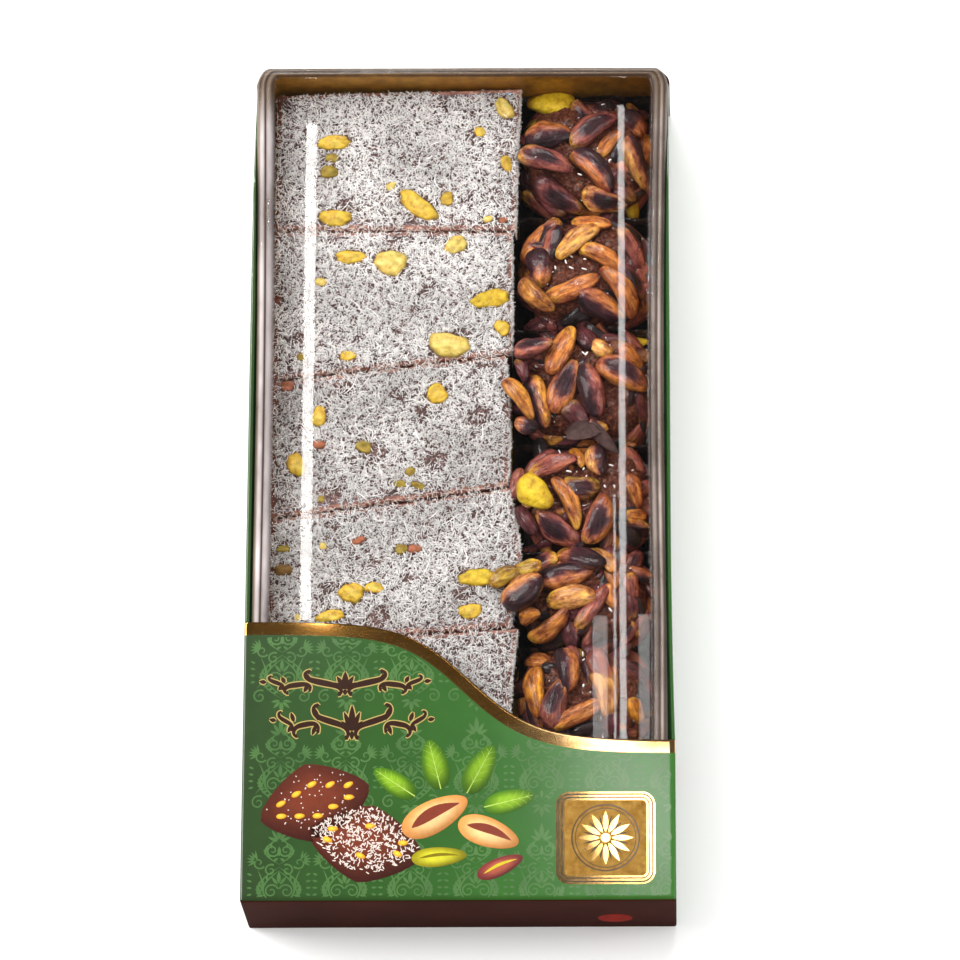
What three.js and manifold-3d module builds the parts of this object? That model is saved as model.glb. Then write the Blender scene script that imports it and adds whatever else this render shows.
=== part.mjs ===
// A closed box of cezerye: a green card carton whose cut-away top shows a clear lid, and under the lid a gold
// card tray with coconut-coated slabs on the left and nut-covered pieces in a dark liner on the right.
// Millimetres. X runs across the box, Y along it with the far end at +Y, and Z up from the table at Z = 0.
import * as THREE from 'three';
import { mergeVertices } from 'three/addons/utils/BufferGeometryUtils.js';
import Module from 'manifold-3d';

// Driving dimensions
const LENGTH = 308;
const WIDTH = 150;
const HEIGHT = 42;
const GAP = 0.3; // clearance kept between pieces that touch
const CARD = 0.8; // carton card
const HEM_NEAR = 1.6; // side walls are folded double, and thin out towards the far end
const HEM_FAR = 0.8;
const END_FLAP_HEIGHT = 33; // the far end wall is lower than the lid
const RIM_DROP = { start: 104, fall: 6 }; // the side rims slope down over the last stretch to the far end

// The top panel's edge is an S: straight at both sides, with one soft wave between them
const PANEL_EDGE = { left: -54.2, right: -97.4, middle: 4, softness: 11.6, steps: 40 };

// Lid, tray and liner are rounded rectangles in plan
const LID = { halfLength: 152.8, halfNear: 72.4, halfFar: 73.8, foot: 16, top: 40.9, film: 0.5, radius: 5 };
const LID_RIM = { shoulder: 2.5, width: 4.6, step: 0.9 };
const TRAY = { left: -71.3, right: 71.3, halfLength: 151.9, wall: 0.9, rim: 38.6, radius: 4.4 };
const LINER = { left: 20.6, right: 68.6, halfLength: 150.6, wall: 0.7, rim: 16, radius: 5 };
const CORNER_STEPS = 5;

// Slabs lie in one row. Each cut is given at the row's left and right side, from the far end to the near end.
const SLAB = { left: -67.6, top: 26, gap: 1.3, bevel: 1.1, lean: 0.9, foot: 0.4, side: 0.2 };
const SLAB_CUTS = [
  [148.6, 150.3], [95.9, 95.3], [39.2, 48.6], [-12.2, -0.8], [-57.8, -52.5], [-105, -103.4], [-150, -150],
];
const SLAB_RIGHT = [19.6, 17.7, 17.3, 20.2, 19.6, 18.2];
const SLAB_WAVE = { height: 0.35, turns: 9, steps: 9 };
const INWARD = [[0, 1], [-1, 0], [0, -1], [1, 0]]; // for a slab's near, right, far and left side

// Nut pieces lie in one row in the liner, between these places along the box
const NUT = { middle: 44.6, foot: 22.8, bulge: 24.1, top: 29.5, gap: 0.8 };
const NUT_CROWN = { start: 0.5, narrowing: 0.55, power: 2.2 }; // how the upper part closes in
const NUT_OUTLINE = { squareness: 3.2, knob: 0.7, knobs: 5, around: 20, levels: 8 }; // at 2 an ellipse
const NUT_CUTS = [149.6, 103.4, 60.6, 17.6, -22.2, -57.4, -95, -133.6];

const wasm = await Module();
wasm.setup();

const colours = {
  carton: 0x3f7a3a, tray: 0x8a6a2a, liner: 0x1a1512, lid: 0xdfe4e6, slab: 0xc9bdb8, nut: 0x8a4a28,
};

function material(colour, roughness, metalness = 0) {
  return new THREE.MeshStandardMaterial({ color: colour, roughness, metalness });
}

// A closed geometry as a solid for joining and cutting
function solid(geometry) {
  const bare = geometry.clone();
  bare.deleteAttribute('normal');
  bare.deleteAttribute('uv');
  const merged = mergeVertices(bare, 1e-4);
  return new wasm.Manifold(new wasm.Mesh({
    numProp: 3,
    vertProperties: new Float32Array(merged.attributes.position.array),
    triVerts: new Uint32Array(merged.index.array),
  }));
}

function geometryOf(cut) {
  const result = cut.getMesh();
  const geometry = new THREE.BufferGeometry();
  geometry.setAttribute('position', new THREE.BufferAttribute(new Float32Array(result.vertProperties), 3));
  geometry.setIndex(new THREE.BufferAttribute(new Uint32Array(result.triVerts), 1));
  return geometry;
}

// Closed skin over rings with equally many points, each ring anticlockwise seen from above. Neighbouring
// rings are joined, and the first and last ring are closed by a fan about their middle.
function skin(rings) {
  const around = rings[0].length;
  const points = rings.flat();
  const middle = (ring) => ring.reduce((sum, p) => sum.add(p), new THREE.Vector3()).divideScalar(ring.length);
  const first = points.push(middle(rings[0])) - 1;
  const last = points.push(middle(rings[rings.length - 1])) - 1;
  const faces = [];
  for (let i = 0; i < around; i += 1) {
    const j = (i + 1) % around;
    faces.push(first, j, i);
    for (let k = 0; k + 1 < rings.length; k += 1) {
      const low = k * around;
      const high = low + around;
      faces.push(low + i, low + j, high + j, low + i, high + j, high + i);
    }
    const end = (rings.length - 1) * around;
    faces.push(last, end + i, end + j);
  }
  const geometry = new THREE.BufferGeometry().setFromPoints(points);
  geometry.setIndex(faces);
  return geometry;
}

// Rounded rectangle at height z, drawn in from the given sides by inset
function roundedRing(left, right, near, far, radius, inset, z) {
  const bend = Math.max(radius - inset, 0.5);
  const corners = [[right, near, -1], [right, far, 0], [left, far, 1], [left, near, 2]];
  return corners.flatMap(([x, y, turn]) => {
    const cx = x - Math.sign(x - (left + right) / 2) * (inset + bend);
    const cy = y - Math.sign(y - (near + far) / 2) * (inset + bend);
    return Array.from({ length: CORNER_STEPS + 1 }, (_, i) => {
      const angle = (turn + i / CORNER_STEPS) * Math.PI / 2;
      return new THREE.Vector3(cx + bend * Math.cos(angle), cy + bend * Math.sin(angle), z);
    });
  });
}

// The top panel's edge, from the left side of the box to the right
function panelEdge(halfWidth) {
  const { left, right, middle, softness, steps } = PANEL_EDGE;
  return Array.from({ length: steps + 1 }, (_, i) => {
    const x = -halfWidth + 2 * halfWidth * i / steps;
    return new THREE.Vector2(x, left + (right - left) / (1 + Math.exp(-(x - middle) / softness)));
  });
}

function extruded(points, depth, z) {
  const geometry = new THREE.ExtrudeGeometry(new THREE.Shape(points), { depth, bevelEnabled: false });
  return geometry.translate(0, 0, z);
}

// Inner half width between the hemmed side walls
function insideHalf(y) {
  const hem = THREE.MathUtils.lerp(HEM_NEAR, HEM_FAR, (y + LENGTH / 2) / LENGTH);
  return WIDTH / 2 - hem;
}

function cartonGeometry() {
  const end = LENGTH / 2;
  const wallEnd = end - CARD;
  const near = insideHalf(-wallEnd);
  const far = insideHalf(wallEnd);
  const block = new THREE.BoxGeometry(WIDTH, LENGTH, HEIGHT).translate(0, 0, HEIGHT / 2);
  const room = [[-near, -wallEnd], [near, -wallEnd], [far, wallEnd], [-far, wallEnd]];
  const cavity = extruded(room.map(([x, y]) => new THREE.Vector2(x, y)), HEIGHT - 2 * CARD, CARD);
  const edge = panelEdge(insideHalf(PANEL_EDGE.left));
  const open = [...edge, new THREE.Vector2(far, wallEnd), new THREE.Vector2(-far, wallEnd)];
  const window = extruded(open, 2 * CARD + 1, HEIGHT - 2 * CARD);
  // Seen from the side: everything above the sloping rims and the low far wall is cut off
  const above = [
    [RIM_DROP.start, HEIGHT], [wallEnd - 2, HEIGHT - RIM_DROP.fall], [wallEnd - 2, END_FLAP_HEIGHT],
    [end + 1, END_FLAP_HEIGHT], [end + 1, HEIGHT + 1], [RIM_DROP.start, HEIGHT + 1],
  ];
  const cutter = new THREE.ExtrudeGeometry(
    new THREE.Shape(above.map(([y, z]) => new THREE.Vector2(y, z))),
    { depth: WIDTH + 2, bevelEnabled: false },
  );
  // The outline's first axis becomes Y, its second Z, and its depth X
  cutter.applyMatrix4(new THREE.Matrix4().makeBasis(
    new THREE.Vector3(0, 1, 0), new THREE.Vector3(0, 0, 1), new THREE.Vector3(1, 0, 0)));
  cutter.translate(-WIDTH / 2 - 1, 0, 0);
  return geometryOf(solid(block).subtract(solid(cavity)).subtract(solid(window)).subtract(solid(cutter)));
}

// Clear lid: an inner skin down to its foot, then an outer skin up over the shoulder and the raised rim.
// Each step is how far it lies in from the lid's side, and its height.
function lidGeometry() {
  const { halfLength, halfNear, halfFar, foot, top, film, radius } = LID;
  const { shoulder, width, step } = LID_RIM;
  const bend = 0.3 * shoulder;
  const flat = shoulder + width;
  const outer = [[0, foot], [0, top - shoulder], [bend, top - bend], [shoulder, top], [flat, top],
    [flat + step, top - step]];
  const inner = [[film, foot], [film, top - shoulder], [bend + 0.7 * film, top - bend - 0.7 * film],
    [shoulder, top - film], [flat - 0.4 * film, top - film], [flat + step - 0.4 * film, top - step - film]];
  return skin([...inner.reverse(), ...outer].map(([inset, z]) => {
    const points = roundedRing(-halfNear, halfNear, -halfLength, halfLength, radius, inset, z);
    return points.map((p) => {
      const wider = (halfFar - halfNear) * (p.y + halfLength) / (2 * halfLength);
      return new THREE.Vector3(p.x + Math.sign(p.x) * wider, p.y, p.z);
    });
  }));
}

// An open tray: its outer skin up from the sole, then its inner skin down to the floor
function trayGeometry({ left, right, halfLength, wall, radius, rim }, sole) {
  const ring = (inset, z) => roundedRing(left, right, -halfLength, halfLength, radius, inset, z);
  return skin([ring(0, sole), ring(0, rim), ring(wall, rim), ring(wall, sole + wall)]);
}

const traySole = CARD + GAP;
const contentsSole = traySole + TRAY.wall + GAP;
const nutSole = contentsSole + LINER.wall + GAP;

// A slab's outline: four straight cuts with a slight waviness, drawn in by inset
function slabRing(index, inset, shift, z) {
  const { left, gap } = SLAB;
  const { height, turns, steps } = SLAB_WAVE;
  const right = SLAB_RIGHT[index];
  const [farLeft, farRight] = SLAB_CUTS[index];
  const [nearLeft, nearRight] = SLAB_CUTS[index + 1];
  const trim = gap / 2 + inset;
  const corners = [[left + inset, nearLeft + trim + shift], [right - inset, nearRight + trim + shift],
    [right - inset, farRight - trim], [left + inset, farLeft - trim]];
  return corners.flatMap(([x, y], side) => {
    const [nextX, nextY] = corners[(side + 1) % 4];
    const [inX, inY] = INWARD[side];
    return Array.from({ length: steps }, (_, i) => {
      const t = i / steps;
      const wave = Math.sin(Math.PI * t) * Math.sin(turns * t + 2.3 * side + 1.7 * index);
      const inward = height * (1 - wave);
      return new THREE.Vector3(x + (nextX - x) * t + inX * inward, y + (nextY - y) * t + inY * inward, z);
    });
  });
}

function slabGeometry(index) {
  const { top, bevel, lean, foot, side } = SLAB;
  const middle = (contentsSole + top) / 2;
  return skin([
    slabRing(index, foot, 0, contentsSole),
    slabRing(index, 0, 0, middle),
    slabRing(index, side, lean, top - bevel),
    slabRing(index, bevel, lean, top),
  ]);
}

// A nut piece: a rounded block that bulges over the liner's rim, knobbly with the kernels on it
function nutGeometry(index) {
  const { middle, foot, bulge, top, gap } = NUT;
  const { squareness, knob, knobs, around, levels } = NUT_OUTLINE;
  const far = NUT_CUTS[index] - gap / 2;
  const near = NUT_CUTS[index + 1] + gap / 2;
  const halfY = (far - near) / 2;
  const centre = (far + near) / 2;
  return skin(Array.from({ length: levels }, (_, k) => {
    const rise = k / (levels - 1);
    const z = nutSole + (top - nutSole) * Math.sin(rise * Math.PI / 2);
    const clear = z > LINER.rim + GAP;
    const crown = Math.max(rise - NUT_CROWN.start, 0) / (1 - NUT_CROWN.start);
    const draw = 1 - NUT_CROWN.narrowing * crown ** NUT_CROWN.power;
    const halfX = (clear ? bulge : foot) * draw;
    return Array.from({ length: around }, (_, i) => {
      const angle = 2 * Math.PI * i / around;
      const [c, s] = [Math.cos(angle), Math.sin(angle)];
      const bump = clear ? knob * (Math.sin(knobs * angle + 2 * k + index) - 1) : -GAP;
      const square = (Math.abs(c) ** squareness + Math.abs(s) ** squareness) ** (-1 / squareness);
      const x = middle + (halfX * square + bump) * c;
      const y = centre + (halfY * draw * square + bump) * s;
      return new THREE.Vector3(x, y, z);
    });
  }));
}

const group = new THREE.Group();

function add(name, geometry, look) {
  const mesh = new THREE.Mesh(geometry, look);
  mesh.name = name;
  group.add(mesh);
}

add('carton', cartonGeometry(), material(colours.carton, 0.45));
add('tray', trayGeometry(TRAY, traySole), material(colours.tray, 0.35, 0.8));
add('liner', trayGeometry(LINER, contentsSole), material(colours.liner, 0.5));
add('lid', lidGeometry(), material(colours.lid, 0.1));
SLAB_RIGHT.forEach((_, i) => add(`slab_${i + 1}`, slabGeometry(i), material(colours.slab, 0.85)));
NUT_CUTS.slice(1).forEach((_, i) => add(`nut_piece_${i + 1}`, nutGeometry(i), material(colours.nut, 0.5)));

export default group;
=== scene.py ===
"""The looks of a closed box of cezerye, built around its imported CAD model.

Shapes are worked out in millimetres as numpy arrays and become metres when new_piece makes them meshes.
X runs across the box, Y along it with the far end at +Y, and Z up from the table.
Seeds are 100 to 300 for the slabs, from 400 for the nut pieces and under 50 for the rest, plus the number of
the piece where there is one.
"""
import math

import bpy
import numpy as np
from mathutils import Matrix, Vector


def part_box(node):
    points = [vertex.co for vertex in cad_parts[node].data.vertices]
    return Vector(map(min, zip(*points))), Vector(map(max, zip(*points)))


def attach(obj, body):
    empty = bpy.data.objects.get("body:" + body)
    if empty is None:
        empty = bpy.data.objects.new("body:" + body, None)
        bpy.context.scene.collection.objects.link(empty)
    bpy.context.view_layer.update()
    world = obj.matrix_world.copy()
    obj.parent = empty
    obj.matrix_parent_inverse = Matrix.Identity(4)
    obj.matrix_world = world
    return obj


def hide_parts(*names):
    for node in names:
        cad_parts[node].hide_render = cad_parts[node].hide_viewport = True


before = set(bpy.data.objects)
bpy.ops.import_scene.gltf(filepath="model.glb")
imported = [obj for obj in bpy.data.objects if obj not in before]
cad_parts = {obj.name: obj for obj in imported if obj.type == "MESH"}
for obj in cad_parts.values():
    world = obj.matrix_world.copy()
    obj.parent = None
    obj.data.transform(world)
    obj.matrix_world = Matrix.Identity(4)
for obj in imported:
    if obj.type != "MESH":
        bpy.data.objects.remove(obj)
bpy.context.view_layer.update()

MM = 0.001
WHITE = (1.0, 1.0, 1.0)
TAU = 2 * math.pi


def node_box(node):
    """Lowest and highest corner of a CAD node in millimetres."""
    low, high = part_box(node)
    return np.array(low) / MM, np.array(high) / MM


# ---------------- measures taken from the frame
_, CARTON_HIGH = node_box("carton")
HALF_WIDTH, HALF_LENGTH, HEIGHT = CARTON_HIGH
TRAY_LOW, TRAY_HIGH = node_box("tray")
LINER_LOW, LINER_HIGH = node_box("liner")
SLAB_NODES = sorted(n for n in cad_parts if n.startswith("slab_"))
NUT_NODES = sorted(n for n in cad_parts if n.startswith("nut_piece_"))
SLAB_TOP = node_box(SLAB_NODES[0])[1][2]
SLAB_FOOT = node_box(SLAB_NODES[0])[0][2]

# ---------------- camera and studio, at real size
CAMERA_PLACE = (0.073388, -0.570415, 1.879218)
CAMERA_ELEVATION = 72.7248
CAMERA_AZIMUTH = 6.6645
CAMERA_ROLL = -6.7502
CAMERA_LENS = 205.473

LAMP_HEIGHT = 1542.0  # of the lamps that the lid and the foil mirror, above the table
LAMP_COLOUR = (1.0, 0.99, 0.975)
# name, lowest X and Y, highest X and Y, brightness
MIRRORED_LAMPS = [
    ("strip_left", (-161.4, 369.5), (-154.4, 706), 25),
    ("strip_right", (41.6, 289), (45.8, 717), 19),
    ("strip_right_low", (53.6, 284), (63.2, 372), 8.5),
    ("strip_middle_low", (24.5, 284), (34, 371), 8),
    ("strip_thin_low", (37.8, 284), (39.4, 452), 16),
    ("panel_glow", (30, 195), (112, 282), 11),
    ("glint_left", (-480, 620), (-410, 690), 170),
    ("glint_far", (160, 1080), (230, 1150), 130),
]
# name, middle, size, brightness
SOFTBOXES = [
    ("softbox_left", (-1300, 350, 1500), (1100, 1500), 8.5),
    ("softbox_right", (1250, -250, 1400), (1000, 1400), 3.4),
    ("softbox_far", (-100, 1900, 1700), (1600, 900), 9.5),
]
ROOM_LIGHT = 0.52
ROOM_MIRRORED = 0.16  # what shiny surfaces see of the room
FLOOR_REACH = 3000.0
FLOOR_GAP = 0.15  # between the floor and the box, so that the two don't share a plane


def srgb(red, green, blue):
    """A screen colour of 0 to 255 as linear light: the power curve of the screen, taken back."""
    c = np.array([red, green, blue]) / 255
    return np.where(c <= 0.04045, c / 12.92, ((c + 0.055) / 1.055) ** 2.4)


def smooth_step(low, high, value):
    """0 below low and 1 above high, with the cubic 3t2 - 2t3 between."""
    t = np.clip((value - low) / (high - low), 0, 1)
    return t * t * (3 - 2 * t)


def ripple(seed, wavelength, terms=7):
    """A smooth uneven field over X and Y: the mean of sine waves whose lengths lie around wavelength and
    whose directions and phases are drawn from seed."""
    draw = np.random.default_rng(seed)
    turns = draw.uniform(0, TAU, terms)
    phases = draw.uniform(0, TAU, terms)
    lengths = wavelength * draw.uniform(0.6, 1.7, terms)

    def field(x, y):
        waves = [np.sin(TAU * (x * math.cos(a) + y * math.sin(a)) / l + p)
                 for a, p, l in zip(turns, phases, lengths)]
        return sum(waves) / math.sqrt(terms)

    return field


def turned(middle, x, y, turn):
    """Places (x, y) turned by an angle in degrees and moved to a middle."""
    c, s = math.cos(math.radians(turn)), math.sin(math.radians(turn))
    return np.stack([middle[0] + c * x - s * y, middle[1] + s * x + c * y], -1)


def direction(turn):
    """Unit vector along an angle in degrees."""
    return np.array([math.cos(math.radians(turn)), math.sin(math.radians(turn))])


def squared(angle, power):
    """Reach of a squared-off circle at an angle: (|cos|^p + |sin|^p)^(-1/p), a circle for a power of 2."""
    return (np.abs(np.cos(angle)) ** power + np.abs(np.sin(angle)) ** power) ** (-1 / power)


# ---------------- from arrays to meshes
def grid_quads(rows, columns, closed=False):
    """Quads of a grid of points held row by row; closed joins the last column to the first. They face along
    the cross product of the column direction and the row direction."""
    i = np.arange(rows - 1)[:, None] * columns
    j = np.arange(columns if closed else columns - 1)[None, :]
    a, b = i + j, i + (j + 1) % columns
    return np.stack([a, b, b + columns, a + columns], -1).reshape(-1, 4)


def part(points, faces, tint=WHITE):
    """One stretch of surface: points (n, 3) in millimetres, a list of (corner array, look number), and a
    tint for all of it or for each point."""
    points = np.asarray(points, float).reshape(-1, 3)
    return {"points": points, "faces": faces, "tint": np.broadcast_to(np.asarray(tint, float), points.shape)}


def skins(rings, look=0, tint=WHITE):
    """Closed skins over rings (shape, ring, point, xyz). Each ring turns anticlockwise seen from the last
    ring's side. The two end rings are closed by a fan about their middle, or by one triangle where a ring
    has three points. tint is one colour, one for each shape, or one for each ring point."""
    rings = np.asarray(rings, float)
    if rings.ndim == 3:
        rings = rings[None]
    shapes, count, around = rings.shape[:3]
    fan = around > 3
    size = count * around + (2 if fan else 0)
    points = rings.reshape(shapes, -1, 3)
    first, last = count * around, count * around + 1
    i = np.arange(around)
    j = (i + 1) % around
    top = (count - 1) * around
    if fan:
        points = np.concatenate([points, rings[:, :1].mean(2), rings[:, -1:].mean(2)], 1)
        ends = np.concatenate([np.stack([np.full(around, first), j, i], -1),
                               np.stack([np.full(around, last), top + i, top + j], -1)])
    else:
        ends = np.array([[2, 1, 0], [top, top + 1, top + 2]])
    shift = (np.arange(shapes) * size)[:, None, None]
    sides = (grid_quads(count, around, closed=True)[None] + shift).reshape(-1, 4)
    ends = (ends[None] + shift).reshape(-1, 3)
    tint = np.asarray(tint, float)
    if tint.ndim == 2:
        tint = np.broadcast_to(tint[:, None], (shapes, size, 3)).reshape(-1, 3)
    elif tint.ndim > 2:
        tint = tint.reshape(shapes, count, around, 3)
        flat = tint.reshape(shapes, -1, 3)
        if fan:
            flat = np.concatenate([flat, tint[:, :1].mean(2), tint[:, -1:].mean(2)], 1)
        tint = flat.reshape(-1, 3)
    return part(points, [(sides, look), (ends, look)], tint)


def sheet(outer, inner, look=0, edge_look=None, tint=WHITE):
    """A thin closed body between two grids of points (row, column, xyz): the outer surface, the inner
    surface turned round, and four strips along the borders. look may be one number for each outer quad."""
    rows, columns = outer.shape[:2]
    edge_look = look if edge_look is None else edge_look
    o = np.arange(rows * columns).reshape(rows, columns)
    n = o + rows * columns
    front = grid_quads(rows, columns)
    strips = [np.stack([n[0, :-1], n[0, 1:], o[0, 1:], o[0, :-1]], -1),
              np.stack([o[-1, :-1], o[-1, 1:], n[-1, 1:], n[-1, :-1]], -1),
              np.stack([o[:-1, 0], o[1:, 0], n[1:, 0], n[:-1, 0]], -1),
              np.stack([n[:-1, -1], n[1:, -1], o[1:, -1], o[:-1, -1]], -1)]
    back = front[:, ::-1] + rows * columns
    tint = np.asarray(tint, float)
    if tint.ndim > 1:
        tint = np.concatenate([tint.reshape(-1, 3)] * 2)
    points = np.concatenate([outer.reshape(-1, 3), inner.reshape(-1, 3)])
    return part(points, [(front, np.ravel(look) if np.ndim(look) else look), (back, edge_look),
                         (np.concatenate(strips), edge_look)], tint)


def put_in_scene(thing):
    bpy.context.scene.collection.objects.link(thing)


def new_piece(name, parts, looks, replaces=(), crease=38):
    """Joins parts into one mesh, in metres, with its tint as a colour attribute, and hangs it on the
    frame."""
    starts = np.cumsum([0] + [len(p["points"]) for p in parts])
    corners, counts, kinds = [], [], []
    for p, start in zip(parts, starts):
        for faces, look in p["faces"]:
            corners.append((faces + start).ravel())
            counts.append(np.full(len(faces), faces.shape[1]))
            kinds.append(np.broadcast_to(look, len(faces)))
    points = np.concatenate([p["points"] for p in parts]) * MM
    tints = np.concatenate([p["tint"] for p in parts])
    corners, counts, kinds = (np.concatenate(a).astype(np.int32) for a in (corners, counts, kinds))
    mesh = bpy.data.meshes.new(name)
    mesh.vertices.add(len(points))
    mesh.vertices.foreach_set("co", points.astype(np.float32).ravel())
    mesh.loops.add(len(corners))
    mesh.loops.foreach_set("vertex_index", corners)
    mesh.polygons.add(len(counts))
    mesh.polygons.foreach_set("loop_start", np.concatenate([[0], np.cumsum(counts)[:-1]]).astype(np.int32))
    mesh.polygons.foreach_set("material_index", kinds)
    mesh.polygons.foreach_set("use_smooth", np.ones(len(counts), bool))
    mesh.update(calc_edges=True)
    tint = mesh.color_attributes.new("tint", "FLOAT_COLOR", "POINT")
    rgba = np.concatenate([tints, np.ones((len(tints), 1))], 1)
    tint.data.foreach_set("color", rgba.astype(np.float32).ravel())
    if "grain" in parts[0]:
        grain = mesh.attributes.new("grain", "FLOAT_VECTOR", "POINT")
        grains = np.concatenate([p["grain"] for p in parts]) * MM
        grain.data.foreach_set("vector", grains.astype(np.float32).ravel())
    for look in looks:
        mesh.materials.append(look)
    mesh.validate()
    mesh.set_sharp_from_angle(angle=math.radians(crease))
    thing = bpy.data.objects.new(name, mesh)
    put_in_scene(thing)
    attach(thing, "root")
    if replaces:
        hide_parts(*replaces)


# ---------------- finishes
def wire(tree, kind, inputs, output, **settings):
    """Adds a shader node: sets it up, fills each input with a value or links it to a socket, and returns one
    of its outputs."""
    node = tree.nodes.new("ShaderNode" + kind)
    for name, value in settings.items():
        setattr(node, name, value)
    for name, value in inputs.items():
        if isinstance(value, bpy.types.NodeSocket):
            tree.links.new(value, node.inputs[name])
        else:
            node.inputs[name].default_value = value
    return node.outputs[output]


class Finish:
    """A node material around one Principled shader, with short calls for what the finishes share."""

    def __init__(self, name, colour, roughness, specular=0.5, coat=(0.0, 0.03), metallic=0.0):
        self.material = bpy.data.materials.new(name)
        self.material.use_nodes = True
        self.tree = self.material.node_tree
        self.shader = self.tree.nodes["Principled BSDF"].inputs
        self.shader["Base Color"].default_value = (*colour, 1)
        self.shader["Roughness"].default_value = roughness
        self.shader["Specular IOR Level"].default_value = specular
        self.shader["Coat Weight"].default_value, self.shader["Coat Roughness"].default_value = coat
        self.shader["Metallic"].default_value = metallic
        self.place = None

    def coordinates(self):
        """Object coordinates in metres, one node for the whole finish."""
        if self.place is None:
            self.place = wire(self.tree, "TexCoord", {}, "Object")
        return self.place

    def stretched(self, scale, turn=0.0, vector=None):
        """Coordinates scaled along X, Y and Z and turned about Z."""
        return wire(self.tree, "Mapping", {"Scale": scale, "Rotation": (0, 0, turn),
                                           "Vector": vector or self.coordinates()}, "Vector")

    def noise(self, size, detail=4.0, roughness=0.55, vector=None):
        """Uneven grey whose features are about size millimetres across."""
        return wire(self.tree, "TexNoise", {"Vector": vector or self.coordinates(), "Scale": 1 / (size * MM),
                                            "Detail": detail, "Roughness": roughness}, "Fac")

    def cells(self, size):
        """Distance to scattered points about size millimetres apart."""
        return wire(self.tree, "TexVoronoi", {"Scale": 1 / (size * MM), "Vector": self.coordinates()},
                    "Distance")

    def ramp(self, value, *stops):
        """Colours along a value: stops are (place, colour)."""
        colours = wire(self.tree, "ValToRGB", {"Fac": value}, "Color")
        elements = colours.node.color_ramp.elements
        for end in (0, -1):
            elements[end].position = stops[end][0]
            elements[end].color = (*stops[end][1], 1)
        for place, colour in stops[1:-1]:
            elements.new(place).color = (*colour, 1)
        return colours

    def times(self, colour, *others):
        """Colours multiplied."""
        for other in others:
            colour = wire(self.tree, "Mix", {"Factor": 1.0, "A": colour, "B": other}, "Result",
                          data_type="RGBA", blend_type="MULTIPLY")
        return colour

    def tint(self):
        """The piece's own colour attribute."""
        return wire(self.tree, "Attribute", {}, "Color", attribute_name="tint")

    def colour(self, value):
        self.tree.links.new(value, self.shader["Base Color"])
        return self

    def mottle(self, uneven, *stops):
        """Colours the finish by an uneven grey."""
        return self.colour(self.ramp(uneven, *stops))

    def tinted_mottle(self, uneven, *stops):
        """The same, times the piece's tint."""
        return self.colour(self.times(self.ramp(uneven, *stops), self.tint()))

    def rough(self, value, low, high):
        """Roughness from low to high along a grey of 0 to 1."""
        level = wire(self.tree, "MapRange", {"To Min": low, "To Max": high, "Value": value}, "Result")
        self.tree.links.new(level, self.shader["Roughness"])
        return self

    def bump(self, value, depth):
        """Relief about depth millimetres high, on top of any that is there."""
        before = self.shader["Normal"].links
        below = {"Normal": before[0].from_socket} if before else {}
        relief = wire(self.tree, "Bump", {"Distance": depth * MM, "Strength": 1.0, "Height": value, **below},
                      "Normal")
        self.tree.links.new(relief, self.shader["Normal"])
        return self


def grey(value):
    return (value, value, value)


def laminated_green():
    """Printed card under a clear laminate, with fine mottling of the ink; painted shade darkens it towards
    the left side.
    """
    f = Finish("laminated_green", srgb(75, 140, 60), 0.6, specular=0.1, coat=(1.0, 0.13))
    across = wire(f.tree, "SeparateXYZ", {"Vector": f.coordinates()}, "X")
    place = wire(f.tree, "MapRange", {"From Min": -HALF_WIDTH * MM, "From Max": HALF_WIDTH * MM,
                                      "Value": across}, "Result")
    # painted shade: the green darkens across X towards the left side
    ink = f.ramp(place, (0.0, srgb(34, 58, 22)), (0.3, srgb(34, 76, 18)),
                 (0.62, srgb(38, 90, 22)), (1.0, srgb(46, 98, 30)))
    mottle = f.ramp(f.noise(9.0, 5.0), (0.3, grey(0.9)), (0.7, grey(1.06)))
    f.colour(f.times(ink, mottle, f.tint()))
    return f.bump(f.noise(0.35, 2.0), 0.006).bump(f.noise(26.0, 2.0), 0.1).material


def shaded_hem_green():
    """Painted shade: a very deep, matt copy of the green for the inner half of the folded rims, which lie in
    the lid's shade.
    """
    f = Finish("shaded_hem_green", srgb(12, 36, 14), 0.8, specular=0.02)
    f.mottle(f.noise(8.0, 4.0), (0.3, srgb(8, 28, 10)), (0.7, srgb(16, 44, 18)))
    return f.bump(f.noise(0.4, 2.0), 0.006).material


def damask_ink():
    """Lighter green varnish of the ornament on the card."""
    f = Finish("damask_ink", srgb(78, 128, 64), 0.6, specular=0.1, coat=(1.0, 0.13))
    return f.mottle(f.noise(14.0, 3.0), (0.3, srgb(58, 92, 46)), (0.7, srgb(70, 108, 54))).material


def gold_foil():
    """Stamped foil: bright metal with fine streaks along it, speckled and slightly uneven."""
    f = Finish("gold_foil", srgb(226, 176, 84), 0.24, metallic=1.0)
    streaks = f.noise(5.0, 3.0, 0.5, f.stretched((0.6, 1.6, 1.0), 0.5))
    speckle = f.ramp(f.noise(0.9, 4.0, 0.7, f.stretched((1.6, 0.5, 1.0))), (0.3, grey(0.66)),
                     (0.66, grey(1.0)))
    metal = f.ramp(streaks, (0.3, srgb(208, 162, 92)), (0.72, srgb(228, 188, 122)))
    f.colour(f.times(f.tint(), metal, speckle))
    f.rough(streaks, 0.04, 0.07)
    return f.bump(f.noise(30.0, 2.0), 0.02).material


def bronze_foil():
    """Darker stamped foil of the badge's field."""
    f = Finish("bronze_foil", srgb(176, 130, 58), 0.3, metallic=1.0)
    f.mottle(f.noise(2.6, 4.0, 0.7), (0.3, srgb(150, 104, 40)), (0.7, srgb(210, 164, 84)))
    return f.bump(f.noise(0.5, 2.0), 0.01).material


def printed_ink():
    """Ink whose hue is the piece's tint, a little mottled, under the laminate."""
    f = Finish("printed_ink", grey(1.0), 0.3, specular=0.1, coat=(0.7, 0.13))
    return f.tinted_mottle(f.noise(1.6, 4.0), (0.3, grey(0.84)), (0.7, grey(1.0))).material


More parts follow.
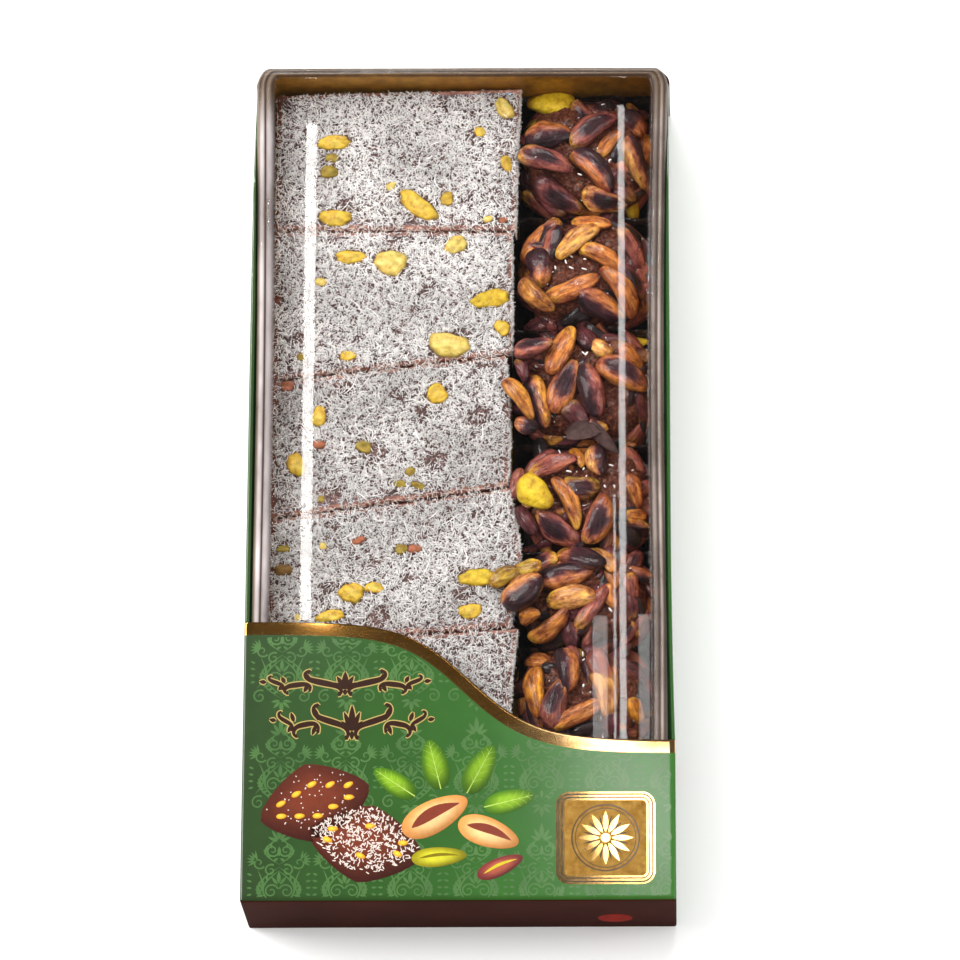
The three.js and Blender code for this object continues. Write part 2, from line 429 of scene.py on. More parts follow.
def brown_end():
    """Dark brown printed end faces."""
    f = Finish("brown_end", srgb(56, 22, 16), 0.7, specular=0.02)
    f.tinted_mottle(f.noise(30.0, 3.0), (0.3, srgb(50, 20, 13)), (0.7, srgb(62, 25, 17)))
    return f.bump(f.noise(0.4, 2.0), 0.006).material


def spot_ink():
    """Matt red ink of the round spot."""
    f = Finish("spot_ink", srgb(128, 34, 26), 0.7, specular=0.02)
    return f.mottle(f.noise(3.0, 3.0), (0.3, srgb(118, 32, 25)), (0.7, srgb(140, 38, 29))).material


def raw_card():
    """Cut and inner faces of the card: pale grey-brown fibre."""
    f = Finish("raw_card", srgb(176, 160, 132), 0.8)
    f.tinted_mottle(f.noise(0.6, 5.0, 0.7, f.stretched((1.0, 0.4, 1.0))), (0.25, srgb(140, 122, 92)),
                    (0.75, srgb(196, 184, 158)))
    return f.bump(f.noise(0.25, 3.0), 0.02).material


def tray_foil():
    """Dull gold foil on the tray card, brushed and slightly dented."""
    f = Finish("tray_foil", srgb(150, 100, 28), 0.42, metallic=0.5)
    f.mottle(f.noise(5.0, 5.0, 0.65), (0.28, srgb(140, 96, 24)), (0.74, srgb(204, 146, 46)))
    f.rough(f.noise(1.5, 3.0), 0.34, 0.55)
    return f.bump(f.noise(7.0, 4.0), 0.18).bump(f.noise(0.6, 2.0), 0.012).material


def liner_film():
    """Nearly black glossy film, crinkled."""
    f = Finish("liner_film", srgb(26, 21, 19), 0.2, coat=(0.3, 0.1))
    f.mottle(f.noise(6.0, 4.0), (0.35, srgb(20, 16, 15)), (0.7, srgb(40, 31, 27)))
    return f.bump(f.cells(4.5), 0.9).bump(f.noise(2.2, 4.0), 0.35).material


def paper_flap():
    """Greyish-brown matt leaves of paper."""
    f = Finish("paper_flap", srgb(84, 66, 64), 0.7, specular=0.12)
    f.mottle(f.noise(2.5, 4.0), (0.3, srgb(56, 40, 39)), (0.7, srgb(84, 64, 62)))
    return f.bump(f.noise(0.7, 3.0), 0.04).material


def carrot_paste():
    """Boiled-down carrot paste: dark red-brown, sticky, with a grainy cut face."""
    f = Finish("carrot_paste", srgb(122, 58, 42), 0.34, coat=(0.25, 0.18))
    f.tinted_mottle(f.noise(1.3, 6.0, 0.7), (0.25, srgb(52, 22, 18)), (0.5, srgb(98, 46, 34)),
                    (0.78, srgb(158, 90, 66)))
    f.rough(f.noise(0.8, 3.0), 0.22, 0.6)
    return f.bump(f.noise(0.9, 5.0, 0.7), 0.22).bump(f.cells(1.7), 0.12).material


def dusted_paste():
    """The paste's top under the loose fibres: speckled with fine coconut meal, from dark gaps to pale
    grains."""
    f = Finish("dusted_paste", srgb(140, 108, 100), 0.6)
    grains = f.ramp(f.noise(0.55, 3.0, 0.65), (0.36, srgb(34, 18, 18)), (0.48, srgb(72, 44, 40)),
                    (0.57, srgb(126, 96, 92)), (0.68, srgb(206, 194, 192)))
    wear_and_sheen = f.ramp(f.noise(7.0, 4.0, 0.6), (0.36, srgb(176, 138, 126)), (0.6, srgb(250, 246, 246)))
    f.colour(f.times(grains, wear_and_sheen, f.tint()))
    return f.bump(f.noise(0.55, 3.0, 0.65), 0.45).material


def coconut():
    """Dried grated coconut: matt off-white fibres, each of its own shade."""
    f = Finish("coconut", srgb(235, 232, 230), 0.62)
    f.tinted_mottle(f.noise(0.5, 3.0), (0.3, grey(0.9)), (0.7, grey(1.0)))
    return f.bump(f.noise(0.2, 2.0), 0.03).material


def kernel_flesh():
    """Cut pistachio flesh in the slabs: warm yellow, waxy, blotched, with small pits and fine creases."""
    f = Finish("kernel_flesh", srgb(240, 204, 84), 0.42, specular=0.35)
    f.tinted_mottle(f.noise(2.4, 5.0, 0.65), (0.3, (0.58, 0.46, 0.3)), (0.44, (0.9, 0.84, 0.72)),
                    (0.56, (1.04, 1.04, 1.06)), (0.68, (1.14, 1.18, 1.7)))
    return f.bump(f.noise(1.8, 5.0, 0.6), 0.9).bump(f.noise(0.4, 2.0), 0.05).material


def kernel_skin():
    """Whole roasted pistachios: tinted skin in streaks along each kernel, lighter on the streaks' ridges and
    darker in their dents, partly skin scuffed off the ridges and partly painted highlight and shade;
    wrinkled, with a little syrup shine. The streaks follow the kernel's own grain coordinates, drawn out
    along it."""
    f = Finish("kernel_skin", srgb(200, 130, 70), 0.45, specular=0.22, coat=(0.36, 0.12))
    grain = wire(f.tree, "Attribute", {}, "Vector", attribute_name="grain")
    along = f.stretched((0.26, 1.0, 1.0), vector=grain)
    streaks, blotches = f.noise(1.5, 5.0, 0.66, along), f.noise(4.0, 4.0, 0.6, grain)
    # lighter where the streaks rise and darker where they dip: partly scuffed skin, partly painted highlight
    # and shade
    scuffed_and_shaded = f.ramp(streaks, (0.32, (0.26, 0.17, 0.18)), (0.44, (0.7, 0.6, 0.58)),
                    (0.56, (1.04, 1.0, 0.94)), (0.7, (1.42, 1.38, 1.2)))
    stained = f.ramp(blotches, (0.32, (0.46, 0.3, 0.36)), (0.46, (0.9, 0.8, 0.86)),
                     (0.58, (1.08, 1.08, 0.98)), (0.72, (1.28, 1.4, 1.06)))
    f.colour(f.times(f.tint(), scuffed_and_shaded, stained))
    f.rough(streaks, 0.65, 0.3)
    f.bump(f.noise(3.2, 3.0, 0.5, along), 2.1).bump(streaks, 1.1)
    return f.bump(f.noise(0.7, 4.0, 0.6, grain), 0.26).material


def nut_paste():
    """The brown sticky core under the kernels, grainy and wet."""
    f = Finish("nut_paste", srgb(76, 40, 28), 0.38, specular=0.2, coat=(0.18, 0.1))
    f.mottle(f.noise(1.2, 6.0, 0.75), (0.3, srgb(34, 12, 8)), (0.48, srgb(90, 42, 28)),
             (0.6, srgb(140, 78, 54)), (0.74, srgb(186, 126, 94)))
    f.rough(f.noise(1.0, 3.0), 0.25, 0.6)
    return f.bump(f.noise(1.2, 6.0, 0.8), 1.5).bump(f.cells(1.6), 0.6).material


def clear_film():
    """Clear thermoformed film: lets light through and mirrors more at glancing angles. Along its rim a matt
    layer paints reflection and shade, in cream highlights and dark lines. The tint's red is how strongly
    that painted layer shows, its green how light it is, and its blue how warm."""
    material = bpy.data.materials.new("clear_film")
    material.use_nodes = True
    tree = material.node_tree
    tree.nodes.remove(tree.nodes["Principled BSDF"])
    through = wire(tree, "BsdfTransparent", {"Color": (0.985, 0.985, 0.98, 1)}, 0)
    mirror = wire(tree, "BsdfGlossy", {"Roughness": 0.01, "Color": (1, 1, 1, 1)}, 0)
    facing = wire(tree, "LayerWeight", {"Blend": 0.5}, "Facing")
    glancing = wire(tree, "Math", {0: facing, 1: 4.0}, 0, operation="POWER")
    share = wire(tree, "MapRange", {"To Min": 0.012, "To Max": 0.62, "Value": glancing}, "Result")
    clear = wire(tree, "MixShader", {"Fac": share, 1: through, 2: mirror}, 0)
    # the painted reflection and shade along the rim, read from the tint
    drawn = wire(tree, "Attribute", {}, "Color", attribute_name="tint")
    split = wire(tree, "SeparateColor", {"Color": drawn}, "Red").node.outputs
    warmth = wire(tree, "Mix", {"Factor": split["Blue"], "A": (*srgb(224, 214, 214), 1),
                                "B": (*srgb(222, 196, 166), 1)}, "Result", data_type="RGBA")
    sheen_tone = wire(tree, "Mix", {"Factor": split["Green"], "A": (*srgb(62, 48, 42), 1), "B": warmth}, "Result",
                data_type="RGBA")
    painted_sheen = wire(tree, "BsdfDiffuse", {"Color": sheen_tone}, 0)
    whole = wire(tree, "MixShader", {"Fac": split["Red"], 1: clear, 2: painted_sheen}, 0)
    tree.links.new(whole, tree.nodes["Material Output"].inputs["Surface"])
    return material


# ---------------- studio
def make_camera():
    """The camera looks back along the unit vector of its azimuth and elevation, and is rolled about it."""
    elevation, azimuth, roll = (math.radians(a) for a in (CAMERA_ELEVATION, CAMERA_AZIMUTH, CAMERA_ROLL))
    back = np.array([math.sin(azimuth) * math.cos(elevation), -math.cos(azimuth) * math.cos(elevation),
                     math.sin(elevation)])
    right = np.cross(-back, (0, 0, 1))
    right /= np.linalg.norm(right)
    up = np.cross(right, -back)
    turned_right = math.cos(roll) * right + math.sin(roll) * up
    turned_up = math.cos(roll) * up - math.sin(roll) * right
    data = bpy.data.cameras.new("camera")
    data.lens = CAMERA_LENS
    data.sensor_width = 36.0
    data.clip_start, data.clip_end = 0.05, 50.0
    camera = bpy.data.objects.new("camera", data)
    place = np.eye(4)
    place[:3, 0], place[:3, 1], place[:3, 2], place[:3, 3] = turned_right, turned_up, back, CAMERA_PLACE
    camera.matrix_world = Matrix(place.tolist())
    put_in_scene(camera)
    bpy.context.scene.camera = camera


def make_lamp(name, middle, size, brightness, mirrored_only=False):
    """A rectangular lamp of the given brightness that faces the box, or straight down where only mirrors see
    it. Its power is brightness times area times pi."""
    data = bpy.data.lights.new(name, "AREA")
    data.shape = "RECTANGLE"
    data.size, data.size_y = size[0] * MM, size[1] * MM
    data.energy = brightness * data.size * data.size_y * math.pi
    data.color = LAMP_COLOUR
    lamp = bpy.data.objects.new(name, data)
    lamp.location = np.array(middle) * MM
    if not mirrored_only:
        lamp.rotation_mode = "QUATERNION"
        lamp.rotation_quaternion = lamp.location.to_track_quat("Z", "Y")
    lamp.visible_camera = False
    lamp.visible_diffuse = not mirrored_only
    put_in_scene(lamp)


def make_studio():
    """White floor, soft even room light, softboxes at the sides, and the narrow lamps that the lid
    mirrors."""
    for name, low, high, brightness in MIRRORED_LAMPS:
        low, high = np.array(low), np.array(high)
        make_lamp(name, (*((low + high) / 2), LAMP_HEIGHT), high - low, brightness, mirrored_only=True)
    for name, middle, size, brightness in SOFTBOXES:
        make_lamp(name, middle, size, brightness)

    world = bpy.data.worlds.new("room")
    world.use_nodes = True
    tree = world.node_tree
    light = tree.nodes["Background"].inputs
    ray = wire(tree, "LightPath", {}, "Is Glossy Ray").node.outputs
    level = wire(tree, "MapRange", {"To Min": ROOM_LIGHT, "To Max": ROOM_MIRRORED,
                                    "Value": ray["Is Glossy Ray"]}, "Result")
    seen = wire(tree, "Mix", {"Factor": ray["Is Camera Ray"], "A": level, "B": 1.0}, "Result")
    tree.links.new(seen, light["Strength"])
    light["Color"].default_value = (1, 1, 1, 1)
    world.cycles.sampling_method = "NONE"
    bpy.context.scene.world = world
    bpy.context.scene.view_settings.view_transform = "Standard"

    corners = np.array([[-1, -1], [1, -1], [1, 1], [-1, 1]]) * FLOOR_REACH
    mesh = bpy.data.meshes.new("floor")
    mesh.from_pydata((np.c_[corners, np.full(4, -FLOOR_GAP)] * MM).tolist(), [], [(0, 1, 2, 3)])
    paper = Finish("floor_paper", grey(0.98), 0.9, specular=0.0)
    paper.mottle(paper.noise(60.0, 3.0), (0.3, grey(0.975)), (0.7, grey(0.985)))
    mesh.materials.append(paper.material)
    floor = bpy.data.objects.new("floor", mesh)
    put_in_scene(floor)


# ---------------- carton
CARD = 0.6  # thickness
FOLD = 0.8  # outer radius
BAND = 4.7  # width of the foil band along the panel's edge
EDGE_LEFT, EDGE_RIGHT, EDGE_MIDDLE, EDGE_SOFTNESS = -54.2, -97.4, 4.0, 11.6
HEM_NEAR, HEM_FAR = 2.3, 0.7  # width of the walls' folded-over rims
HEM_THINS = 60.0  # where they start to thin
HEM_SHADE_FROM = {-1: 10, 1: 9}  # the point of a wall's section from which the hem takes the dark green of painted shade
WALL_BOW = {-1: 0.1, 1: 1.0}  # how far the left and the right wall lean in half way along
RIM_DROP_START, RIM_DROP = 104.0, 9.0  # where the long rims start to slope down, and how far they do
FAR_WALL_TOP = 33.0
NEAR_FOLD = FOLD - HALF_LENGTH  # Y of the near fold's centre
PANEL_PUFF = 0.22  # how far the panel swells half way across
FAR_CORNER = 5.0  # radius of the far corners, which are pressed round by the lid
# the last look, the dark matt green of the hems, is painted shade
GREEN, BROWN, FOIL, RAW, SHADED_HEM = range(5)


def panel_edge(x):
    """The panel's S-shaped edge: a logistic step from its left to its right level."""
    return EDGE_LEFT + (EDGE_RIGHT - EDGE_LEFT) / (1 + np.exp(-(x - EDGE_MIDDLE) / EDGE_SOFTNESS))


def band_depth(x):
    """How far the band reaches along Y for its width square to the edge: width times sqrt(1 + slope
    squared)."""
    s = 1 / (1 + np.exp(-(x - EDGE_MIDDLE) / EDGE_SOFTNESS))
    slope = (EDGE_RIGHT - EDGE_LEFT) * s * (1 - s) / EDGE_SOFTNESS
    return BAND * np.sqrt(1 + slope ** 2)


def top_and_near_wall():
    """Top panel and near end wall as one folded sheet. Columns run across with a quarter circle down at each
    side, and rows run up the near wall, round the near fold and along the panel to its S-shaped edge. A
    point is its fold centre plus the fold radius times its unit normal."""
    flat = np.linspace(-(HALF_WIDTH - FOLD), HALF_WIDTH - FOLD, 101)
    bend = np.radians(np.linspace(90, 0, 7)[:-1])
    centre_x = np.concatenate([np.full(6, flat[0]), flat, np.full(6, flat[-1])])
    tilt = np.concatenate([-bend, np.zeros(101), bend[::-1]])
    up = np.concatenate([np.linspace(0.5, HEIGHT - FOLD, 9), np.full(59, HEIGHT - FOLD)])
    turn = np.concatenate([np.full(9, 90.0), np.linspace(90, 0, 8)[1:], np.zeros(52)])
    share = np.concatenate([np.zeros(16), np.linspace(0, 1, 46)[1:], np.ones(7)])
    band_share = np.concatenate([np.zeros(61), [0.14, 0.3, 0.48, 0.66, 0.84, 0.93, 1.0]])
    reach = panel_edge(centre_x) - band_depth(centre_x)
    y = NEAR_FOLD + share[:, None] * (reach - NEAR_FOLD) + band_share[:, None] * band_depth(centre_x)
    turn = np.radians(turn)[:, None]
    normal = np.stack(np.broadcast_arrays(np.sin(tilt)[None], -np.cos(tilt)[None] * np.sin(turn),
                                          np.cos(tilt)[None] * np.cos(turn)), -1)
    puff = PANEL_PUFF * np.cos(math.pi * centre_x / (2 * HALF_WIDTH))[None] * share[:, None] * (turn == 0)
    puff = puff - np.where(np.arange(68) == 67, 0.06, 0)[:, None]
    middle = np.stack(np.broadcast_arrays(centre_x[None], y, up[:, None] + puff), -1)
    outer = middle + FOLD * normal
    inner = middle + (FOLD - CARD) * normal
    rows, columns = outer.shape[:2]
    look = np.full((rows - 1, columns - 1), GREEN)  # and brown up to the near fold, foil along the edge
    look[:12] = BROWN
    look[60:] = FOIL
    tint = np.ones((rows, columns, 3))
    tint[11:16] = (0.72, 0.66, 0.45)
    # painted shade: the near wall darker towards its foot
    tint[:9] *= np.linspace(0.78, 1.0, 9)[:, None, None]
    # painted highlight: the foil band paler and whiter towards the right
    pale = smooth_step(8, 40, centre_x)[:, None]
    tint[61:] = (0.76, 0.62, 0.44) + (0.28, 0.44, 0.9) * pale
    return sheet(outer, inner, look, RAW, tint)


def wall_bow(side, y):
    """How far a side wall stands in from the box's side: it leans in half way along, and a little at its far
    end."""
    start = panel_edge(HALF_WIDTH * side)
    beyond = np.clip((y - start) / (HALF_LENGTH - start), 0, 1)
    wave = np.sin(math.pi * beyond ** 0.8) * (1 + 0.12 * np.sin(9 * beyond))
    return WALL_BOW[side] * wave + 0.8 * beyond ** 3


def side_wall(side):
    """One side wall with its folded-over rim, as a long bar: its section rises outside, turns over a small
    round, slopes down inwards along the hem, and goes back to the card. It thins towards the far end, and
    its rim slopes down over the last stretch. Its tint is painted shade and light: the left wall lighter
    than the right, the inner part of the hem and the far end darker, and the foil rows dimmed."""
    start = panel_edge(HALF_WIDTH * side)
    band = start - BAND
    y = np.concatenate([np.linspace(-(HALF_LENGTH - FOLD), band, 12), np.linspace(band, start, 4)[1:],
                        [start + 0.15], np.linspace(start + 0.4, HALF_LENGTH - FAR_CORNER, 70)])[:, None]
    bow = wall_bow(side, y)
    thick = HEM_NEAR + (HEM_FAR - HEM_NEAR) * np.clip((y - HEM_THINS) / (HALF_LENGTH - HEM_THINS), 0, 1)
    card = np.minimum(0.8, 0.8 * thick)
    stretch = HALF_LENGTH - FAR_CORNER - RIM_DROP_START
    drop = RIM_DROP * np.clip((y - RIM_DROP_START) / stretch, 0, 1) ** 1.4
    top = HEIGHT - drop - np.where(y <= start, FOLD * 0.95, 0.0)
    # how far in from the wall's outside (thick and card mixed), and how far below the top
    section = [(0.2, 0, None, 0), (0, 0, None, 0.3), (0, 0, None, 12), (0, 0, None, 26), (0, 0, 1.2, 0),
               (0.05, 0, 0.45, 0), (0.14, 0, 0.14, 0), (0.27, 0, 0.02, 0), (0.42, 0, 0.05, 0),
               (0.56, 0, 0.35, 0), (0.72, 0, 0.9, 0), (0.88, 0, 1.7, 0), (1, 0, 2.8, 0), (0.97, 0, 4.2, 0),
               (0.5, 0.5, 6.0, 0), (0, 1, 9.0, 0), (0, 1, None, 14), (0, 1, None, 0.4)]
    inward = np.concatenate([h * thick + c * card for h, c, _, _ in section], 1)
    z = np.concatenate([top - below if below is not None else 0 * top + level
                        for _, _, below, level in section], 1)
    rings = np.stack([side * (HALF_WIDTH - bow - inward), np.broadcast_to(y, z.shape), z], -1)
    if side > 0:
        rings = rings[:, ::-1]
    look = np.where((y[:-1] >= band - 0.01) & (y[1:] <= start + 0.01), FOIL, GREEN)
    made = skins(rings)
    quads, _ = made["faces"][0]
    looks = np.repeat(look, rings.shape[1], axis=1)
    # painted shade: from this point of the section on, the hem's green turns to the dark matt green
    hem_in_shade = np.arange(rings.shape[1])[None] >= HEM_SHADE_FROM[side]
    hem_in_shade = hem_in_shade[:, ::-side] if side < 0 else np.roll(hem_in_shade[:, ::-1], -1, axis=1)
    made["faces"][0] = (quads, np.where(hem_in_shade & (looks == GREEN), SHADED_HEM, looks).ravel())
    # painted shade and light: the left wall lighter than the right, and the inner part of the hem darker
    darkens = (0.45, 0.85) if side < 0 else (0.2, 0.56)
    shade = (1.3 - 0.55 * side) * (1 - 0.6 * smooth_step(*darkens, inward / thick))
    # painted shade: darker towards the far end
    shade = shade[:, ::-side] * (1 - 0.5 * smooth_step(138, 149, y))
    # painted shade: the foil rows dimmed against their glare
    shade = np.where((y > band - 0.01) & (y < start + 0.1), 0.17, shade)
    made["tint"] = np.concatenate([np.repeat(shade[..., None], 3, -1).reshape(-1, 3), np.ones((2, 3))])
    return made


def far_wall():
    """The low far end wall: a rounded-top profile carried round the two far corners."""
    arc = np.radians(np.linspace(0, 90, 11))
    reach = HALF_WIDTH - 0.4 - FAR_CORNER
    left = np.stack([-reach - FAR_CORNER * np.cos(arc),
                     HALF_LENGTH - FAR_CORNER + FAR_CORNER * np.sin(arc)], -1)
    right = left[::-1] * (-1, 1)
    straight = np.stack([np.linspace(-reach, reach, 30)[1:-1], np.full(28, HALF_LENGTH)], -1)
    path = np.concatenate([left, straight, right])
    normal = np.concatenate([np.stack([-np.cos(arc), np.sin(arc)], -1), np.tile([0.0, 1.0], (28, 1)),
                             np.stack([np.cos(arc[::-1]), np.sin(arc[::-1])], -1)])
    rim = np.radians(np.linspace(0, 180, 7))
    depth = np.concatenate([[0.2, 0, 0, 0], CARD * (0.5 - 0.5 * np.cos(rim)), [CARD, CARD]])
    height = np.concatenate([[0, 0.3, 12, 24], FAR_WALL_TOP - 0.3 + 0.3 * np.sin(rim), [15, 0.6]])
    xy = path[:, None] - depth[None, :, None] * normal[:, None]
    rings = np.concatenate([xy, np.broadcast_to(height[None, :, None], (*xy.shape[:2], 1))], -1)
    return skins(rings, BROWN)


def carton_floor():
    """The bottom: a flat sheet whose printed side faces down."""
    t, y = np.meshgrid(np.linspace(0, 1, 24), np.linspace(0.4 - HALF_LENGTH, HALF_LENGTH - 0.4, 40))
    right, left = HALF_WIDTH - 0.4 - wall_bow(1, y), wall_bow(-1, y) + 0.4 - HALF_WIDTH
    x = right + (left - right) * t
    sag = 0.05 + 0.05 * np.cos(math.pi * x / HALF_WIDTH)
    return sheet(np.stack([x, y, sag], -1), np.stack([x, y, sag + CARD], -1), GREEN, RAW)


def end_disc():
    """The plain red spot on the near end: a thin disc with a rounded rim."""
    radius, middle_x, middle_z = 6.0, 53.7, 14.3
    turn = np.linspace(0, TAU, 49)[:-1]
    rings = []
    for reach, proud in ((radius, -0.1), (radius, 0.02), (radius - 0.1, 0.04), (0.5 * radius, 0.04)):
        rings.append(np.stack([middle_x + reach * np.cos(turn), np.full(48, -HALF_LENGTH - proud),
                               middle_z + reach * np.sin(turn)], -1))
    return skins(np.array(rings))


# ---------------- print on the panel
PRINT_HEIGHT = 0.035  # of one layer of print
BADGE_MIDDLE, BADGE_HALF = np.array([50.8, -132.0]), np.array([17.1, 16.3])


def panel_height(x, y):
    """Height of the panel's printed surface, with its slight puff."""
    share = (y - NEAR_FOLD) / (panel_edge(x) - band_depth(x) - NEAR_FOLD)
    return HEIGHT + PANEL_PUFF * np.cos(math.pi * x / (2 * HALF_WIDTH)) * np.clip(share, 0, 1)


def on_panel(path, margin):
    """Which points of a path (n, 2) lie on the printed green of the panel, margin clear of its edges."""
    x, y = path[:, 0], path[:, 1]
    return ((np.abs(x) < HALF_WIDTH - FOLD - margin) & (y > NEAR_FOLD + margin)
            & (y < panel_edge(x) - band_depth(x) - margin))


def stroke(path, width, level, tint=WHITE):
    """A flat printed stroke: a path (n, 2) with a width at each point, as a thin closed strip on the panel.
    Each level lies one print layer higher than the one before."""
    step = np.gradient(path, axis=0)
    side = np.stack([-step[:, 1], step[:, 0]], -1)
    side /= np.maximum(np.linalg.norm(side, axis=1, keepdims=True), 1e-9)
    half = np.maximum(np.asarray(width, float), 0.02)[:, None] / 2
    left, right = path + side * half, path - side * half
    base = panel_height(path[:, 0], path[:, 1])
    top, low = base + PRINT_HEIGHT * level, base - 0.02
    rings = np.stack([np.c_[left, low], np.c_[left, top], np.c_[right, top], np.c_[right, low]], 1)
    return skins(rings, 0, tint)


def curl(centre, radius, start, turns):
    """A spiral of 20 points about a centre: its angle grows evenly over the given turns while its radius
    shrinks."""
    t = np.linspace(0, 1, 20)
    angle = math.radians(start) + TAU * turns * t
    reach = radius * (1 - 0.82 * t)
    return np.array(centre) + np.stack([reach * np.cos(angle), reach * np.sin(angle)], -1)


def arch(start, end, rise, steps=16):
    """A shallow arch between two points: a straight line plus rise times sin(pi t) square to it."""
    t = np.linspace(0, 1, steps)[:, None]
    start, end = np.array(start, float), np.array(end, float)
    along = end - start
    side = np.array([-along[1], along[0]]) / max(np.hypot(*along), 1e-9)
    return start + along * t + side * rise * np.sin(math.pi * t)


def leaf_path(base, turn, length, rise=0.0, steps=12):
    """The middle line of a leaf that grows from base in direction turn."""
    return arch(base, base + length * direction(turn), rise, steps)


def leaf_width(steps, widest):
    """Width along a leaf: sin(pi t) to the power 0.8, fullest before the middle."""
    t = np.linspace(0, 1, steps) ** 0.85
    return widest * np.sin(math.pi * np.clip(t, 0.01, 0.99)) ** 0.8


def taper(steps, widest, end):
    """Width along a curl, falling evenly to its end."""
    return widest * np.linspace(1, end, steps)


def scroll(middle, length, turn, wind, twofold=False, steps=34):
    """A double scroll of a given length along its line. With s from -1 to 1 its heading is wind s^3, so that
    both ends roll up on the same side, or wind s^4 where it is twofold, so that they roll up on opposite
    sides."""
    s = np.linspace(-1, 1, steps)
    heading = math.radians(turn) + math.radians(wind) * (s ** 4 if twofold else s ** 3)
    step = length / (steps - 1)
    path = np.cumsum(np.stack([np.cos(heading), np.sin(heading)], -1) * step, axis=0)
    return path - path[steps // 2] + middle


def swell(steps, widest):
    """Width along a scroll: full in the middle, thin near its ends, with a small bud at each end."""
    s = np.abs(np.linspace(-1, 1, steps))
    return widest * (0.38 + 0.62 * np.cos(math.pi * s / 2) + 0.55 * np.exp(-((s - 0.97) / 0.05) ** 2))


def damask_strokes():
    """One damask motif about its own middle, as (path, width) pairs: a heart of facing curls inside an oval,
    side curls with fans, a larger medallion below, and a foot. The right half is drawn, and the left mirrors
    it."""
    axis = [(leaf_path((0, y), turn, length, steps=6), leaf_width(6, wide))
            for y, turn, length, wide in ((12.2, 90, 5.4, 1.6), (6.2, 90, 3.4, 1.3), (-3.4, 90, 4.2, 1.4),
                                          (-8.6, -90, 3.0, 1.2), (-14.6, -90, 3.6, 1.5))]
    half = []
    for root, turn, length, wide in (((0.4, 11.8), 58, 4.2, 1.2), ((0.6, 11.4), 26, 3.6, 1.1),
                                     ((0.4, -3.8), 52, 3.4, 1.0), ((0.4, -14.4), -44, 3.4, 1.1),
                                     ((0.6, -14.0), -10, 3.0, 1.0)):
        half.append((leaf_path(root, turn, length, steps=6), leaf_width(6, wide)))
    for centre, radius, start, turns in (((2.3, 8.2), 2.3, 200, 1.35), ((6.9, 3.8), 2.2, 215, 1.1),
                                         ((2.6, -6.2), 2.6, 160, -1.35), ((7.6, -12.6), 2.5, 120, -1.3),
                                         ((2.9, 1.2), 2.2, 120, -1.2)):
        half.append((curl(centre, radius, start, turns), taper(20, 0.62, 0.6)))
    for top, low, rise in ((12.6, 3.2, -5.0), (2.4, -13.6, -7.6), (1.2, -12.4, -5.6)):
        half.append((arch((0.2, top), (0.2, low), rise, 18), leaf_width(18, 0.62)))
    for top, low, rise, count, length in ((12.6, 3.2, -5.7, 6, 2.0), (2.4, -13.6, -8.3, 10, 2.3)):
        path = arch((0.2, top), (0.2, low), rise, 40)
        ahead = np.gradient(path, axis=0)
        for i in np.linspace(7, 34, count).astype(int):
            way = math.degrees(math.atan2(ahead[i, 1], ahead[i, 0]))
            half.append((leaf_path(path[i], way + 62, length, steps=5), leaf_width(5, 0.85)))
    for turn in (80, 58, 36, 14, -8, -30):
        half.append((leaf_path((7.6, 4.6), turn, 3.6, steps=5), leaf_width(5, 0.8)))
    half.append((arch((7.4, 1.4), (8.8, -9.8), -2.4, 14), leaf_width(14, 0.6)))
    for y, turn in ((-0.6, 24), (-2.8, 14), (-5.0, 2), (-7.2, -12)):
        half.append((leaf_path((9.3, y), turn, 1.8, steps=5), leaf_width(5, 0.8)))
    return mirrored(axis, half)


def mirrored(axis, half):
    """Strokes along an ornament's axis, those of its right half, and the same mirrored to the left."""
    return axis + half + [(path * (-1, 1), width) for path, width in half]


def print_damask():
    """Damask motifs in columns and rows over the whole panel. What would leave the green, or lie under the
    badge, is cut off."""
    spacing_x, spacing_y, first_x, first_y = 22.6, 37.8, -61.6, -68.6
    motif = damask_strokes()
    parts = []
    for row in range(3):
        for column in range(7):
            middle = np.array([first_x + spacing_x * column, first_y - spacing_y * row])
            for i, (path, width) in enumerate(motif):
                placed = path + middle
                good = on_panel(placed, 0.5) & np.any(np.abs(placed - BADGE_MIDDLE) > BADGE_HALF + 0.5, 1)
                cuts = np.flatnonzero(np.diff(good.astype(int))) + 1
                for run in np.split(np.arange(len(placed)), cuts):
                    if len(run) > 2 and good[run].all():
                        parts.append(stroke(placed[run], width[run], 0.6 + 0.005 * i))
    return parts


# middle, stretch across and along
FLOURISH_LINES = [((-39.5, -76.6), 0.98, 0.86), ((-37.0, -90.6), 0.94, 1.25)]


def flourish_strokes():
    """A scroll ornament about its own middle, as (path, width) pairs: a palmette between mirrored scrolls
    that shrink outwards, with leaves in their forks."""
    axis = [(leaf_path((0.0, -2.4), turn, length), leaf_width(12, wide))
            for turn, length, wide in ((90, 7.4, 2.3), (-90, 2.6, 1.6))]
    half = [(leaf_path((0.1, -2.4), turn, length), leaf_width(12, wide))
            for turn, length, wide in ((62, 6.2, 1.8), (36, 4.8, 1.5))]
    for middle, length, turn, wind, twofold, wide in (
            ((8.4, 0.4), 20.0, 14, 205, True, 2.2), ((17.6, -0.6), 14.0, -8, -190, False, 1.9),
            ((24.8, 0.6), 9.0, 24, 200, True, 1.5)):
        half.append((scroll(middle, length, turn, wind, twofold), swell(34, wide)))
    for root, turn, length in (((12.6, 0.6), 74, 3.6), ((13.2, -0.6), -64, 3.4), ((21.4, 0.2), 66, 3.0),
                               ((22.0, -0.6), -52, 2.8), ((28.0, 0.6), 8, 2.6)):
        half.append((leaf_path(root, turn, length), leaf_width(12, 1.5)))
    return mirrored(axis, half)


